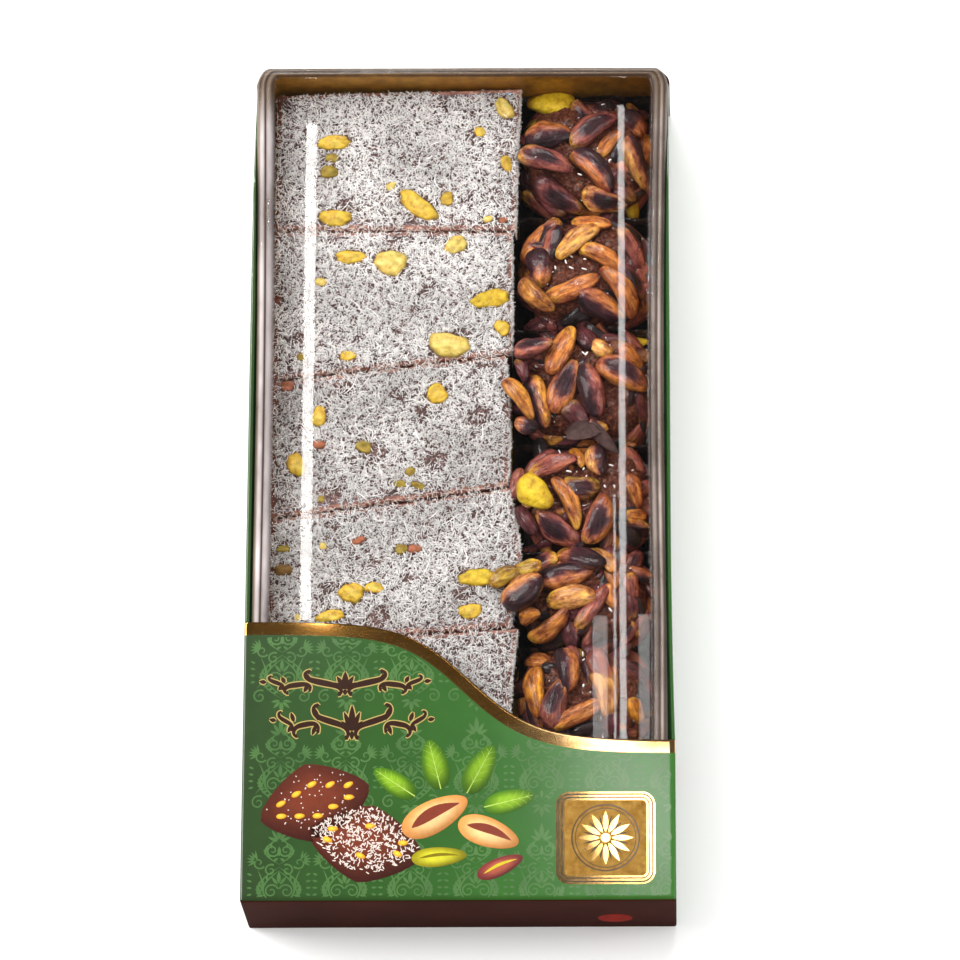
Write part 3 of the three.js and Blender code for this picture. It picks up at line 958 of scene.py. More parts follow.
def print_flourish():
    """Two ornament lines in dark brown, each with a pale gold outline under it."""
    brown, gold = [], []
    for middle, across, along in FLOURISH_LINES:
        for i, (path, width) in enumerate(flourish_strokes()):
            placed = path * (across, along) + middle
            gold.append(stroke(placed, width + 0.75, 2.0 + 0.02 * i, srgb(178, 156, 92)))
            brown.append(stroke(placed, width, 2.8 + 0.02 * i, srgb(44, 20, 6)))
    return gold + brown


def field(outline, shade, level=1.0, rings=7):
    """A printed field: its outline (n, 2), anticlockwise, drawn in towards its middle ring by ring. shade
    gives the tint for how far in a point lies (0 to 1) and for its place."""
    middle = outline.mean(0)
    inward = np.concatenate([[0.0, 0.0], np.linspace(0.02, 0.97, rings)])
    flat = outline[None] + (middle - outline)[None] * inward[:, None, None]
    z = panel_height(flat[..., 0], flat[..., 1]) + PRINT_HEIGHT * level
    z[0] -= PRINT_HEIGHT * level + 0.02
    tint = shade(np.broadcast_to(inward[:, None], flat.shape[:2]), flat)
    return skins(np.concatenate([flat, z[..., None]], -1), 0, tint[None])


def oval(middle, length, width, turn, point=0.0, steps=40):
    """An oval outline, drawn out at one end: x = cos a, y = sin a (1 - point (1 + cos a) / 2)."""
    a = np.linspace(0, TAU, steps + 1)[:-1]
    x = np.cos(a) * length / 2
    y = np.sin(a) * width / 2 * (1 - point * (1 + np.cos(a)) / 2)
    return turned(middle, x, y, turn)


def lozenge(middle, long_way, short_way, turn):
    """A rounded lozenge outline: |x/a|^p + |y/b|^p = 1 with p a little over 1."""
    a = np.linspace(0, TAU, 49)[:-1]
    reach = squared(a, 4 / 3)
    return turned(middle, reach * np.cos(a) * long_way / 2, reach * np.sin(a) * short_way / 2, turn)


def blend_shade(rim, heart, light_from=(-0.5, 0.85), contrast=0.35):
    """A shading rule for a field: from its rim colour to its heart colour, lighter towards light_from."""
    rim, heart = np.array(rim), np.array(heart)

    def shade(inward, flat):
        middle = flat.reshape(-1, 2).mean(0)
        away = (flat - middle) @ np.array(light_from)
        away = away / max(np.abs(away).max(), 1e-9)
        share = smooth_step(0.0, 0.75, inward)[..., None]
        return np.clip((rim + (heart - rim) * share) * (1 + contrast * away[..., None]), 0, 1)

    return shade


def print_leaf(base, turn, length, width, light=1.0):
    """A green printed leaf with a middle rib and side veins."""
    line = leaf_path(base, turn, length)
    parts = [field(oval(line.mean(0), length, width, turn, 0.35), blend_shade(srgb(58, 100, 8) * light,
                                                                     srgb(128, 170, 30) * light), 2.0)]
    rib = srgb(176, 204, 92) * light
    parts.append(stroke(leaf_path(base, turn, 0.96 * length), taper(12, 0.4, 0.3), 2.8, rib))
    for k in range(1, 6):
        root = line[0] + (line[-1] - line[0]) * (0.06 + 0.15 * k)
        for side in (-1, 1):
            reach = width * 0.44 * math.sin(math.pi * (0.12 + 0.14 * k))
            parts.append(stroke(leaf_path(root, turn + 42 * side, reach, -0.4 * side),
                                taper(12, 0.22, 0.3), 2.8, 0.72 * rib))
    return parts


def print_kernel(middle, length, width, turn, rim, heart, seam, split):
    """A printed nut: a drawn-out oval with a darker seam along it."""
    along = leaf_path(middle - 0.36 * length * direction(turn), turn, 0.74 * length, 0.1 * width)
    return [field(oval(middle, length, width, turn, 0.3), blend_shade(rim, heart), 3.2),
            stroke(along, leaf_width(12, split * width), 4.0, seam)]


def print_sweet(middle, long_way, short_way, turn, seed, coated):
    """A printed piece of the sweet seen flat: coated with white dashes, or bare with yellow nut slices."""
    draw = np.random.default_rng(seed)
    side = field(lozenge(np.array(middle) - (0, 1.6), long_way, short_way, turn),
                 blend_shade(srgb(66, 22, 14), srgb(96, 36, 22)), 1.6)
    parts = [side, field(lozenge(middle, long_way, short_way, turn),
                         blend_shade(srgb(72, 28, 16), srgb(110, 48, 28)), 2.0)]
    count = 560 if coated else 70
    a, r = draw.uniform(0, TAU, count), np.sqrt(draw.uniform(0, 0.86, count))
    reach = r * (np.abs(np.cos(a)) ** 1.33 + np.abs(np.sin(a)) ** 1.33) ** -0.75
    places = turned(middle, reach * np.cos(a) * long_way / 2, reach * np.sin(a) * short_way / 2, turn)
    for place, way, shade in zip(places, draw.uniform(0, 180, count), draw.uniform(0.75, 1.0, count)):
        parts.append(stroke(leaf_path(place, way, 1.2 if coated else 0.5, steps=3), [0.3, 0.38, 0.24],
                            3.0, srgb(236, 220, 210) * shade))
    for t in np.linspace(-0.62, 0.62, 3 if coated else 5):
        for off in (-0.2, 0.22):
            spot = turned(middle, (t + 0.12 * off) * long_way / 2, off * short_way * (1 - abs(t)), turn)
            parts.append(field(oval(spot, 3.6, 2.1, turn + 60 * off, 0.2, 20),
                               blend_shade(srgb(214, 146, 26), srgb(240, 192, 60)), 3.4, 4))
    return parts


def print_picture():
    """A plain picture of what is inside: two pieces of the sweet, some leaves, and some nuts."""
    shell, pale, inner = (196, 128, 62), (240, 198, 136), (122, 52, 34)
    parts = []
    for base, turn, length, width in (((-15.0, -117.0), 146, 17, 9.5), ((-6.0, -114.5), 104, 18, 11),
                                      ((3.0, -116.0), 62, 19, 11), ((9.0, -121.0), 14, 18, 9.5)):
        parts += print_leaf(base, turn, length, width, 0.9 + 0.1 * math.sin(turn))
    parts += print_sweet((-49.5, -118.5), 39, 27, 16, 3, coated=False)
    parts += print_sweet((-32.0, -133.0), 40, 26, -12, 5, coated=True)
    for middle, length, width, turn, rim, heart, seam, split in (
            ((-8.0, -124.0), 25, 13.5, 28, shell, pale, inner, 0.3),
            ((10.5, -130.0), 22, 12, -20, shell, pale, inner, 0.26),
            ((-6.5, -138.5), 19, 8, 4, (130, 122, 12), (200, 196, 44), (120, 104, 10), 0.14),
            ((14.5, -142.0), 17, 7.4, 24, (100, 34, 36), (168, 84, 62), (196, 180, 36), 0.14)):
        parts += print_kernel(middle, length, width, turn, srgb(*rim), srgb(*heart), srgb(*seam), split)
    return parts


def badge_frame(inset):
    """The badge's rounded outline, drawn in by inset."""
    return rounded_ring(BADGE_MIDDLE - BADGE_HALF, BADGE_MIDDLE + BADGE_HALF, 4.6, inset, 0.0, 8, 7)[:, :2]


def plain(inward, _):
    """A shading rule for a field of one colour."""
    return np.ones((*inward.shape, 3))


BADGE_LINE = srgb(66, 48, 24)


def print_badge():
    """A foil badge: a bright rounded square with two fine frames, a bronze field, and a rosette of leaves in
    a ring."""
    bright, dark = [field(badge_frame(0), plain, 1.4, 2)], []
    for inset, thick in ((0.9, 0.55), (2.1, 0.45)):
        loop = badge_frame(inset)
        loop = np.concatenate([loop, loop[:2]])
        dark.append(stroke(loop, np.full(len(loop), thick), 2.2, BADGE_LINE))
    bronze = [field(badge_frame(3.0), plain, 2.4, 2)]
    turn = np.linspace(0, TAU, 61)
    for reach, thick in ((11.6, 0.5), (10.4, 0.3)):
        ring = BADGE_MIDDLE + reach * np.stack([np.cos(turn), np.sin(turn)], -1)
        dark.append(stroke(ring, np.full(61, thick), 3.4, BADGE_LINE))
    for turn in range(0, 360, 30):
        leaf = leaf_path(BADGE_MIDDLE + 2.2 * direction(turn), turn, 7.2)
        bright.append(stroke(leaf, leaf_width(12, 1.9), 3.6))
        line = leaf_path(BADGE_MIDDLE + 3.0 * direction(turn + 15), turn + 15, 5.0)
        dark.append(stroke(line, leaf_width(12, 0.7), 3.4, BADGE_LINE))
    bright.append(field(oval(BADGE_MIDDLE, 3.2, 3.2, 0, 0, 24), plain, 4.0, 3))
    return bright, dark, bronze


# ---------------- lid, tray and liner
def rounded_ring(low, high, radius, inset, z, edge_steps=40, corner_steps=8):
    """A rounded rectangle at height z, anticlockwise: four quarter rounds joined by straight runs, all drawn
    in by inset. radius is one number or one each for X and Y."""
    bend = np.maximum(np.array(radius) * (1.0, 1.0) - inset, 0.4)
    reach = inset + bend
    centres = [(high[0] - reach[0], low[1] + reach[1]), (high[0] - reach[0], high[1] - reach[1]),
               (low[0] + reach[0], high[1] - reach[1]), (low[0] + reach[0], low[1] + reach[1])]
    arcs = []
    for k, centre in enumerate(centres):
        a = np.linspace(0, math.pi / 2, corner_steps + 1) + (k - 1) * math.pi / 2
        arcs.append(np.array(centre) + bend * np.stack([np.cos(a), np.sin(a)], -1))
    runs = []
    for k in range(4):
        t = np.linspace(0, 1, edge_steps + 1)[1:-1, None]
        runs += [arcs[k], arcs[k][-1] + (arcs[(k + 1) % 4][0] - arcs[k][-1]) * t]
    ring = np.concatenate(runs)
    return np.c_[ring, np.full(len(ring), z)]


LID_LOW, LID_HIGH = np.array([-72.4, -152.8]), np.array([72.4, 153.2])
LID_WIDER = 1.7  # how much further out its sides stand at the far end
LID_BOW = {-1: 0.7, 1: 1.2}  # how far the left and the right side lean in half way along
LID_RADIUS = np.array([4.8, 7.6])
LID_SKEW = 0.55  # how far the far end turns in at the right and out at the left
LID_FILM = 0.4
LID_RIM_NEAR = np.array([6.4, 6.0])  # width of the raised rim at the left side and the near end
LID_RIM_FAR = np.array([6.0, 3.6])  # and at the right side and the far end
# Profile of the lid from its skirt up over the side bead, a groove, an inner bead and down to the top: how
# far in from the side (1 is the rim's width), the height, then how strongly the painted reflection and shade
# show there and how light they are at the left side, and the same at the other sides
LID_PROFILE = [
    (0, 16, 0.05, 0.2, 0.05, 0.2), (0, 26, 0.12, 0.2, 0.12, 0.2), (0, 37.6, 0.4, 0.3, 0.4, 0.08),
    (0.012, 38.7, 0.7, 0.36, 0.6, 0.14), (0.05, 39.7, 0.76, 0.3, 0.7, 0.36),
    (0.11, 40.3, 0.74, 0.29, 0.66, 0.34), (0.17, 40.7, 0.72, 0.33, 0.55, 0.12),
    (0.24, 40.9, 0.74, 0.62, 0.5, 0.12), (0.3, 40.95, 0.76, 0.66, 0.56, 0.34),
    (0.38, 40.93, 0.74, 0.6, 0.66, 0.5), (0.43, 40.9, 0.7, 0.4, 0.6, 0.3),
    (0.48, 40.7, 0.7, 0.06, 0.6, 0.1), (0.53, 40.4, 0.7, 0.04, 0.6, 0.08),
    (0.58, 40.6, 0.7, 0.36, 0.5, 0.22), (0.66, 40.88, 0.7, 0.44, 0.54, 0.34),
    (0.74, 40.93, 0.7, 0.45, 0.54, 0.32), (0.82, 40.82, 0.66, 0.44, 0.46, 0.14),
    (0.89, 40.45, 0.56, 0.36, 0.55, 0.02), (0.95, 40.12, 0.36, 0.26, 0.46, 0.02),
    (1.02, 40.01, 0.1, 0.2, 0.14, 0.05), (1.07, 40, 0, 0.3, 0, 0.3), (1.12, 40, 0, 0.3, 0, 0.3),
    (1.7, 40, 0, 0.3, 0, 0.3),
]


def lid_parts():
    """The lid as a closed film: its inner surface from the flat top down to the skirt, then its outer
    surface back up. The inner profile is the outer one moved in by the film's thickness along its normal."""
    profile = np.array(LID_PROFILE)
    rim = (LID_RIM_NEAR + LID_RIM_FAR)[0] / 2
    line = profile[:, :2] * (rim, 1)
    step = np.gradient(line, axis=0)
    step /= np.linalg.norm(step, axis=1, keepdims=True)
    inner = line + LID_FILM * np.stack([step[:, 1], -step[:, 0]], -1)
    inner[0, 1] = line[0, 1]
    whole = np.concatenate([inner[::-1], line]) / (rim, 1)
    painted_sheen = np.concatenate([profile[::-1, 2:], profile[:, 2:]])
    rings = np.array([rounded_ring(LID_LOW + LID_RIM_NEAR * s, LID_HIGH - LID_RIM_FAR * s,
                                   LID_RADIUS - 0.45 * rim * s, 0.0, z, 60) for s, z in whole])
    x, y = rings[..., 0], rings[..., 1]
    share = (y - LID_LOW[1]) / (LID_HIGH[1] - LID_LOW[1])
    lean = np.sin(math.pi * np.clip((y + 53) / 200, 0, 1))
    # uneven strength of the painted reflection and shade on the rim
    wear_and_sheen = ripple(41, 9)(y, 2 * x) * 0.5 + ripple(42, 40)(y, x)
    # painted reflection and shade: lighter at the left side, darker at the far end, cream on the left's
    # outer bead
    far = smooth_step(LID_HIGH[1] - 26, LID_HIGH[1] - 5, y)
    left = ((x < 0) * (1 - far))[..., None]
    sheen_tones = painted_sheen[:, None, 2:] + (painted_sheen[:, None, :2] - painted_sheen[:, None, 2:]) * left
    tint = np.zeros((*rings.shape[:2], 3))
    tint[..., 0] = sheen_tones[..., 0] * (1 + 0.16 * wear_and_sheen)
    tint[..., 1] = sheen_tones[..., 1] * (1 + 0.16 * wear_and_sheen) * (1 - 0.45 * far)
    outermost = smooth_step(0.26, 0.12, whole[:, 0])[:, None]
    tint[..., 2] = 0.35 + 0.4 * far + (0.8 * outermost - 0.35 - 0.4 * far) * left[..., 0]
    rings[..., 1] = y - LID_SKEW * x / HALF_WIDTH * smooth_step(0.5, 1.0, share)
    for side in (-1, 1):
        rings[..., 0] += side * (side * x > 0) * (LID_WIDER * share - LID_BOW[side] * lean)
    return [skins(rings, 0, np.clip(tint, 0, 1)[None])]


def tray_parts():
    """The gold tray: outer wall up from the floor, a rolled rim, the inner wall down, and a rounded floor
    edge. Its walls wave slightly."""
    foot, rim = TRAY_LOW[2], TRAY_HIGH[2]
    profile = [(0.4, foot), (0, foot + 0.5), (0, 12), (0, 26), (0, rim - 0.4), (0.15, rim - 0.08),
               (0.45, rim), (0.75, rim - 0.08), (0.9, rim - 0.4), (0.9, 30), (0.9, 22), (0.9, 12), (0.9, 5),
               (1.3, 2.9), (2.4, 2.15), (5, foot + 0.9)]
    rings = np.array([rounded_ring(TRAY_LOW[:2], TRAY_HIGH[:2], 4.4, inset, z, 60) for inset, z in profile])
    wave = ripple(21, 46)
    level = np.sin(math.pi * np.clip((rings[..., 2] - foot) / (rim - foot), 0, 1))
    rings[..., 1] -= np.sign(rings[..., 1]) * level * 0.22 * np.abs(wave(rings[..., 0], rings[..., 2]))
    return [skins(rings)]


LINER_FILM, FLAP_PAPER = 0.5, 0.22  # thickness


def liner_parts():
    """The crinkled liner: a thin sheet over a height field. It rises at its long sides and ends, and in a
    ridge between each two nut pieces, and pleats run across it."""
    low, high = LINER_LOW[:2] + 0.4, LINER_HIGH[:2] - 0.4
    share, y = np.meshgrid(np.linspace(0, 1, 92), np.linspace(low[1], high[1], 500))
    left = np.full(y.shape, low[0])
    for k, (_, near) in enumerate(SLAB_CUTS[1:]):
        left = np.where((y > near) & (y < SLAB_CUTS[k][1]), SLAB_RIGHT[k] + 0.5, left)
    x = left + (high[0] - left) * share
    side = np.minimum(x - left, high[0] - x)
    end = np.minimum(y - low[1], high[1] - y)
    wall = np.exp(-np.minimum(side, end) / 1.5)
    ridge = np.zeros_like(x)
    for node in NUT_NODES:
        _, top = node_box(node)
        ridge = np.maximum(ridge, np.exp(-((y - top[1] - 0.6) / 2.6) ** 2))
    pleats = np.abs(np.sin(0.9 * y + 0.5 * np.sin(0.35 * x) + 2.0 * ripple(31, 40)(x, y)))
    crinkle = ripple(32, 9)(x, y) + 0.5 * ripple(33, 3.6)(x, y)
    rise = 13.0 * np.maximum(wall, 0.92 * ridge) + 0.9 * pleats * (0.3 + wall + ridge) + 0.55 * crinkle
    z = LINER_LOW[2] + 0.9 + np.clip(rise, 0, 15.2)
    outer = np.stack([x, y, z], -1)
    inner = outer - (0, 0, LINER_FILM)
    inner[..., 2] = np.maximum(inner[..., 2], LINER_LOW[2])
    return [sheet(outer, inner)]


# place, heading, length, width, height of base and tip, curl
FLAPS = [((37.2, 18.2), 4, 12, 7, 27, 28, 1), ((46.2, 22.6), -50, 14.5, 4.6, 28.5, 27, -0.6),
         ((60.5, 8.6), -20, 8, 4.5, 17, 18.5, 0.6), ((45.5, 144.8), -5, 12, 4, 20, 21, 0.5),
         ((64.8, 7.5), -95, 14, 3, 17, 18, 0.4)]


def flap_parts():
    """Leaves of the liner's paper that stand up between pieces: thin sheets whose width follows a leaf's
    outline and which curl across it."""
    parts = []
    for place, heading, length, width, base, tip, curve in FLAPS:
        t, s = np.meshgrid(np.linspace(0, 1, 22), np.linspace(-1, 1, 9), indexing="ij")
        half = width / 2 * np.sin(math.pi * np.clip(0.12 + 0.86 * t, 0, 1)) ** 0.7
        xy = turned(place, t * length, s * half + curve * np.sin(math.pi * t), heading)
        z = base + (tip - base) * t + 1.1 * curve * s ** 2 + 0.3 * np.sin(5 * t)
        outer = np.concatenate([xy, z[..., None]], -1)[:, ::-1]
        parts.append(sheet(outer, outer - (0, 0, FLAP_PAPER)))
    return parts


# ---------------- slabs
SLAB_BEVEL = 0.8
SLAB_LEAN = 0.9  # how far a near cut lies further in at its top than at its foot
SLICE_SQUARENESS = 2.3  # power of a nut slice's outline
# One slab after another from the far end: its right side, and the Y of its cuts at the left and right side
SLAB_RIGHT = [19.6, 17.7, 17.3, 20.2, 19.6, 18.2]
# How far its right side lies in at the near end, the middle and the far end
SLAB_DENTS = [(0.8, 0.1, -1.0), (0.2, 0.0, 0.3), (1.0, 0.4, 2.0), (3.8, -0.4, 3.8), (2.2, 2.2, -0.2),
              (0.0, 0.0, 0.0)]
SLAB_LEFT = -67.6
SLAB_CUTS = [(148.6, 150.3), (95.9, 95.3), (39.2, 48.6), (-12.2, -0.8), (-57.8, -52.5), (-105.0, -103.4),
             (-150.0, -150.0)]
SLAB_GAP = 0.12

# Nut slices that show at the slabs' tops, slab by slab: middle, length, width, turn, kind
SLICES = [
    [(-46.8, 129.9, 13, 5.4, 5, "yellow"), (-47.4, 124.1, 5.8, 3.5, 0, "olive"),
     (-48.5, 118.7, 6.5, 5, 20, "olive"), (-46.1, 101.1, 12.3, 6.1, -8, "yellow"),
     (-16.2, 105.4, 16.6, 7.2, -35, "yellow"), (-5.8, 108, 5, 5.2, 0, "dull"),
     (6, 133.6, 4, 4.2, 30, "yellow"), (14.8, 142.6, 9.6, 5.6, -62, "pale"),
     (15.6, 121.4, 7, 4, -82, "dull"), (-26, 113, 4, 3, 20, "pale"), (9, 100, 3.6, 2.8, 20, "pale"),
     (14.5, 99.6, 3.4, 2.4, 0, "paste")],
    [(-40.2, 86.1, 10.8, 5.3, 3, "yellow"), (-25.8, 83.7, 12.2, 9.4, -25, "pale"),
     (-2.5, 90.4, 8.3, 6.7, 10, "pale"), (10, 69.8, 14.3, 6.8, 6, "bright"),
     (14.2, 58.8, 5.4, 6, 60, "yellow"), (-4.8, 52.5, 14.3, 9.4, -3, "pale"),
     (-40.8, 48.7, 6.4, 3.6, 0, "yellow"), (-57.6, 48.4, 3.4, 3, 0, "olive"),
     (-50.8, 76.7, 4.6, 3.4, 0, "pale")],
    [(-8.9, 34.2, 7.8, 7.2, 30, "yellow"), (-50.9, 25.9, 7.5, 5.7, 80, "yellow"),
     (-58.9, 8.1, 9.4, 6, -82, "yellow"), (-50.8, 15.4, 5, 3.4, 0, "paste"),
     (-34.8, 14.6, 5.7, 4.8, -20, "olive"), (-18.3, 5.2, 3.5, 3.7, 60, "olive"),
     (-21.9, 0.7, 5, 2.6, 0, "olive"), (-15.5, 0, 5, 2.6, -15, "olive"),
     (-49.8, -4.6, 2.8, 2.6, 0, "olive"), (-62.5, 37.5, 5, 3.6, 0, "paste")],
    [(-36.5, -20.2, 5.2, 3, 25, "paste"), (-21.3, -23.3, 5, 3.6, 0, "olive"),
     (-16.4, -23.3, 5, 3.4, 0, "paste"), (-63, -23, 5, 2.7, 5, "olive"),
     (-62.9, -30.7, 6.4, 4.6, 0, "brown"), (-38.5, -39.3, 8.8, 7.6, -20, "yellow"),
     (-30.7, -37.5, 6.4, 4.4, -10, "yellow"), (-46.1, -47.7, 10.6, 4.4, 5, "yellow"),
     (-57.7, -48.3, 2.8, 2.6, 0, "pale"), (5.9, -34.1, 14.1, 6.2, -3, "bright"),
     (3.2, -46.2, 8.8, 5.4, 15, "yellow"), (-49, -22, 3.2, 2.4, 0, "pale")],
    [],
    [],
]
SLICE_TINTS = {
    "yellow": srgb(212, 172, 50), "pale": srgb(218, 188, 98), "bright": srgb(204, 168, 34),
    "olive": srgb(150, 126, 40), "dull": srgb(188, 152, 46), "brown": srgb(128, 92, 38),
    "paste": srgb(160, 92, 64),
}


def slab_corners(k, inset=0.0, lean=0.0):
    """The four corners of slab k, anticlockwise from near left, all edges drawn in by inset."""
    (far_left, far_right), (near_left, near_right) = SLAB_CUTS[k], SLAB_CUTS[k + 1]
    trim = SLAB_GAP / 2 + inset
    left, right = SLAB_LEFT + inset, SLAB_RIGHT[k] - inset
    return np.array([[left, near_left + trim + lean], [right, near_right + trim + lean],
                     [right, far_right - trim], [left, far_left - trim]])


def right_dent(k, y):
    """How far slab k's right side lies in at y: a parabola through its three dents."""
    near_y, far_y = SLAB_CUTS[k + 1][1], SLAB_CUTS[k][1]
    t = np.clip((y - near_y) / (far_y - near_y), 0, 1)
    near, middle, far = SLAB_DENTS[k]
    return near * (1 - t) * (1 - 2 * t) + middle * 4 * t * (1 - t) + far * t * (2 * t - 1)


SLAB_WAVES = (0.1, 0.5, 0.1, 0.25)  # of the near, right, far and left cut


def slab_ring(k, inset, lean, z, steps=44):
    """Slab k's uneven outline at height z: straight cuts with two waves on them, drawn in by inset."""
    corners = slab_corners(k, inset, lean)
    t = np.linspace(0, 1, steps + 1)[:-1, None]
    runs = []
    for side in range(4):
        along = corners[(side + 1) % 4] - corners[side]
        inward = np.array([-along[1], along[0]]) / np.hypot(*along)
        size = SLAB_WAVES[side] * np.sin(math.pi * t) ** 0.5
        wave = np.sin(9 * t + 2.3 * side + 1.7 * k) + 0.6 * np.sin(31 * t + side + k + 0.15 * z) + 0.6
        runs.append(corners[side] + along * t + inward * (size * wave))
    ring = np.concatenate(runs)
    width = SLAB_RIGHT[k] - SLAB_LEFT
    ring[:, 0] -= right_dent(k, ring[:, 1]) * smooth_step(0.85, 1.0, (ring[:, 0] - SLAB_LEFT) / width)
    return np.c_[ring, np.full(len(ring), z)]


def slab_relief(k):
    """The slab top's soft unevenness in millimetres."""
    long_waves, short_waves = ripple(100 + k, 26), ripple(120 + k, 6)
    return lambda x, y: 0.2 * long_waves(x, y) + 0.12 * short_waves(x, y)


def slab_core(k):
    """Slab k's paste: rings up its cut sides, over a rounded edge, and in over the top to its middle."""
    lean = SLAB_LEAN
    profile = [(0.5, 0.0, SLAB_FOOT), (0.05, 0.0, SLAB_FOOT + 0.7), (0.0, 0.1, 8.0), (0.1, 0.3, 13.0),
               (0.0, 0.6, 18.0), (0.05, 0.8, 22.0), (0.0, lean, SLAB_TOP - SLAB_BEVEL),
               (0.3, lean, SLAB_TOP - 0.4), (0.8, lean, SLAB_TOP - 0.16), (1.6, lean, SLAB_TOP - 0.05)]
    rings = [slab_ring(k, inset, shift, z) for inset, shift, z in profile]
    middle = slab_corners(k).mean(0)
    edge = rings[-1].copy()
    for share in np.linspace(0.94, 0.06, 16):
        ring = edge.copy()
        ring[:, :2] = middle + (edge[:, :2] - middle) * share
        ring[:, 2] = SLAB_TOP + slab_relief(k)(*ring.T[:2]) * smooth_step(1.0, 0.85, share)
        rings.append(ring)
    rings = np.array(rings)
    number = np.arange(len(rings))[:, None]
    x, y, z = np.moveaxis(rings, -1, 0)
    push = 0.16 * ripple(140 + k, 3.0)(x + y, z * 1.7)
    outward = rings[..., :2] - middle
    outward /= np.linalg.norm(outward, axis=-1, keepdims=True)
    rings[..., :2] += outward * (push * ((number < 7) & (number > 0)))[..., None]
    shade = 1 + 0.16 * ripple(160 + k, 18)(x, y)
    cuts = np.clip(edge_distance(k, x, y), 0, None)
    cut_face = np.exp(-cuts[0] / 1.6) + 0.6 * np.exp(-cuts[2] / 1.2) + 0.7 * np.exp(-cuts[1] / 1.0)
    cut_face += smooth_step(4.5, 1.0, cuts[2]) * smooth_step(-18, -6, x) * (k == 0)
    cut_face *= smooth_step(SLAB_TOP - 5, SLAB_TOP - 1, z) * (1 + 0.5 * ripple(180 + k, 7)(x, y))
    shade, cut_face = shade[..., None], cut_face[..., None]
    tint = 0.86 * np.clip(shade, 0.7, 1.35) * (1 + np.clip(cut_face, 0, 2) * (2.4, 5.8, 8.0))
    dusted = np.clip(shade, 0.8, 1.2) * (1 + np.clip(cut_face, 0, 1) * (1.5, 0.9, 0.7))
    made = skins(rings, 0, np.where(number[..., None] >= 10, dusted, tint)[None])
    (quads, _), (fan, _) = made["faces"]
    around = rings.shape[1]
    made["faces"] = [(quads, np.repeat(number[:-1, 0] >= 9, around)), (fan, np.repeat([0, 1], around))]
    return made


def edge_distance(k, x, y):
    """How far points lie inside slab k: the smallest distance to its four cuts."""
    corners = slab_corners(k, 0.0, SLAB_LEAN)
    away = []
    for side in range(4):
        a, b = corners[side], corners[(side + 1) % 4]
        length = np.hypot(*(b - a))
        away.append(((b[0] - a[0]) * (y - a[1]) - (b[1] - a[1]) * (x - a[0])) / length)
    away[1] = away[1] - right_dent(k, y)
    return np.array(away)


def in_slice(k, x, y):
    """True where a point lies in one of slab k's nut slices, each an ellipse a little larger than its
    slice."""
    inside = np.zeros(np.shape(x), bool)
    for mx, my, length, width, turn, _ in SLICES[k]:
        c, s = direction(turn)
        u, v = (x - mx) * c + (y - my) * s, (y - my) * c - (x - mx) * s
        inside |= (u / (length / 2)) ** 2 + (v / (width / 2)) ** 2 < 1.05 ** 2
    return inside


def fibres(middle, heading, pitch, length, width, curve, segments, tint):
    """Coconut fibres: three-sided bars along a heading in the plane and a pitch out of it, bent by curve and
    thinner at their ends. All fibres are worked out at once."""
    n = len(length)
    ahead = np.stack([np.cos(heading) * np.cos(pitch), np.sin(heading) * np.cos(pitch), np.sin(pitch)], -1)
    side = np.stack([-np.sin(heading), np.cos(heading), np.zeros(n)], -1)
    up = np.cross(ahead, side)
    s = np.linspace(-0.5, 0.5, segments + 1)
    spine = middle[:, None] + ahead[:, None] * (s[None, :, None] * length[:, None, None])
    bend = (0.25 - s ** 2)[None, :] * (curve * length)[:, None]
    spine = spine + side[:, None] * bend[..., None]
    reach = width[:, None] / 2 * (1 - 1.6 * np.abs(s) ** 2)[None]
    turn = np.broadcast_to(np.radians([90, 210, 330]), (n, 3))[..., None]
    ring = np.cos(turn) * side[:, None] + 0.75 * np.sin(turn) * up[:, None]
    rings = spine[:, :, None] + reach[:, :, None, None] * ring[:, None]
    return skins(rings, 0, tint)


def fibre_tints(draw, count, light=1.0):
    """Off-white, greyish and slightly rosy shades, one for each fibre."""
    shade = np.clip(draw.normal(0.95, 0.16, count), 0.4, 1.05) * light
    warm = draw.uniform(0, 1, count)
    return shade[:, None] * np.stack([np.full(count, 1.0), 0.985 - 0.035 * warm, 0.99 - 0.05 * warm], -1)


def strewn(draw, places, heading, pitch, lengths, widths, curve, segments, light=1.0, tint=None):
    """Fibres at the given places. Heading, length and width are ranges, and pitch and curve are spreads
    about 0; heading and pitch may also be given for each fibre."""
    n = len(places)
    heading = draw.uniform(*heading, n) if isinstance(heading, tuple) else heading
    pitch = draw.normal(0, pitch, n) if np.ndim(pitch) == 0 else pitch
    length, width, bend = draw.uniform(*lengths, n), draw.uniform(*widths, n), draw.normal(0, curve, n)
    return fibres(places, heading, pitch, length, width, bend, segments,
                  fibre_tints(draw, n, light) if tint is None else tint)


COCONUT = [13000, 13000, 12600, 13000, 11000, 4000]  # fibres on each slab
BARENESS = [0.05, 0.09, 0.21, 0.16, 0.2, 0.2]  # share of the fibres that each slab lacks
WHITENESS = [0.97, 0.95, 0.87, 0.87, 0.86, 0.9]
LONG_FIBRES, JOINT_FIBRES, FRINGE_FIBRES = 60, 200, 150
SIDE_FIBRES = (60, 620, 60, 260)  # on the near, right, far and left cut


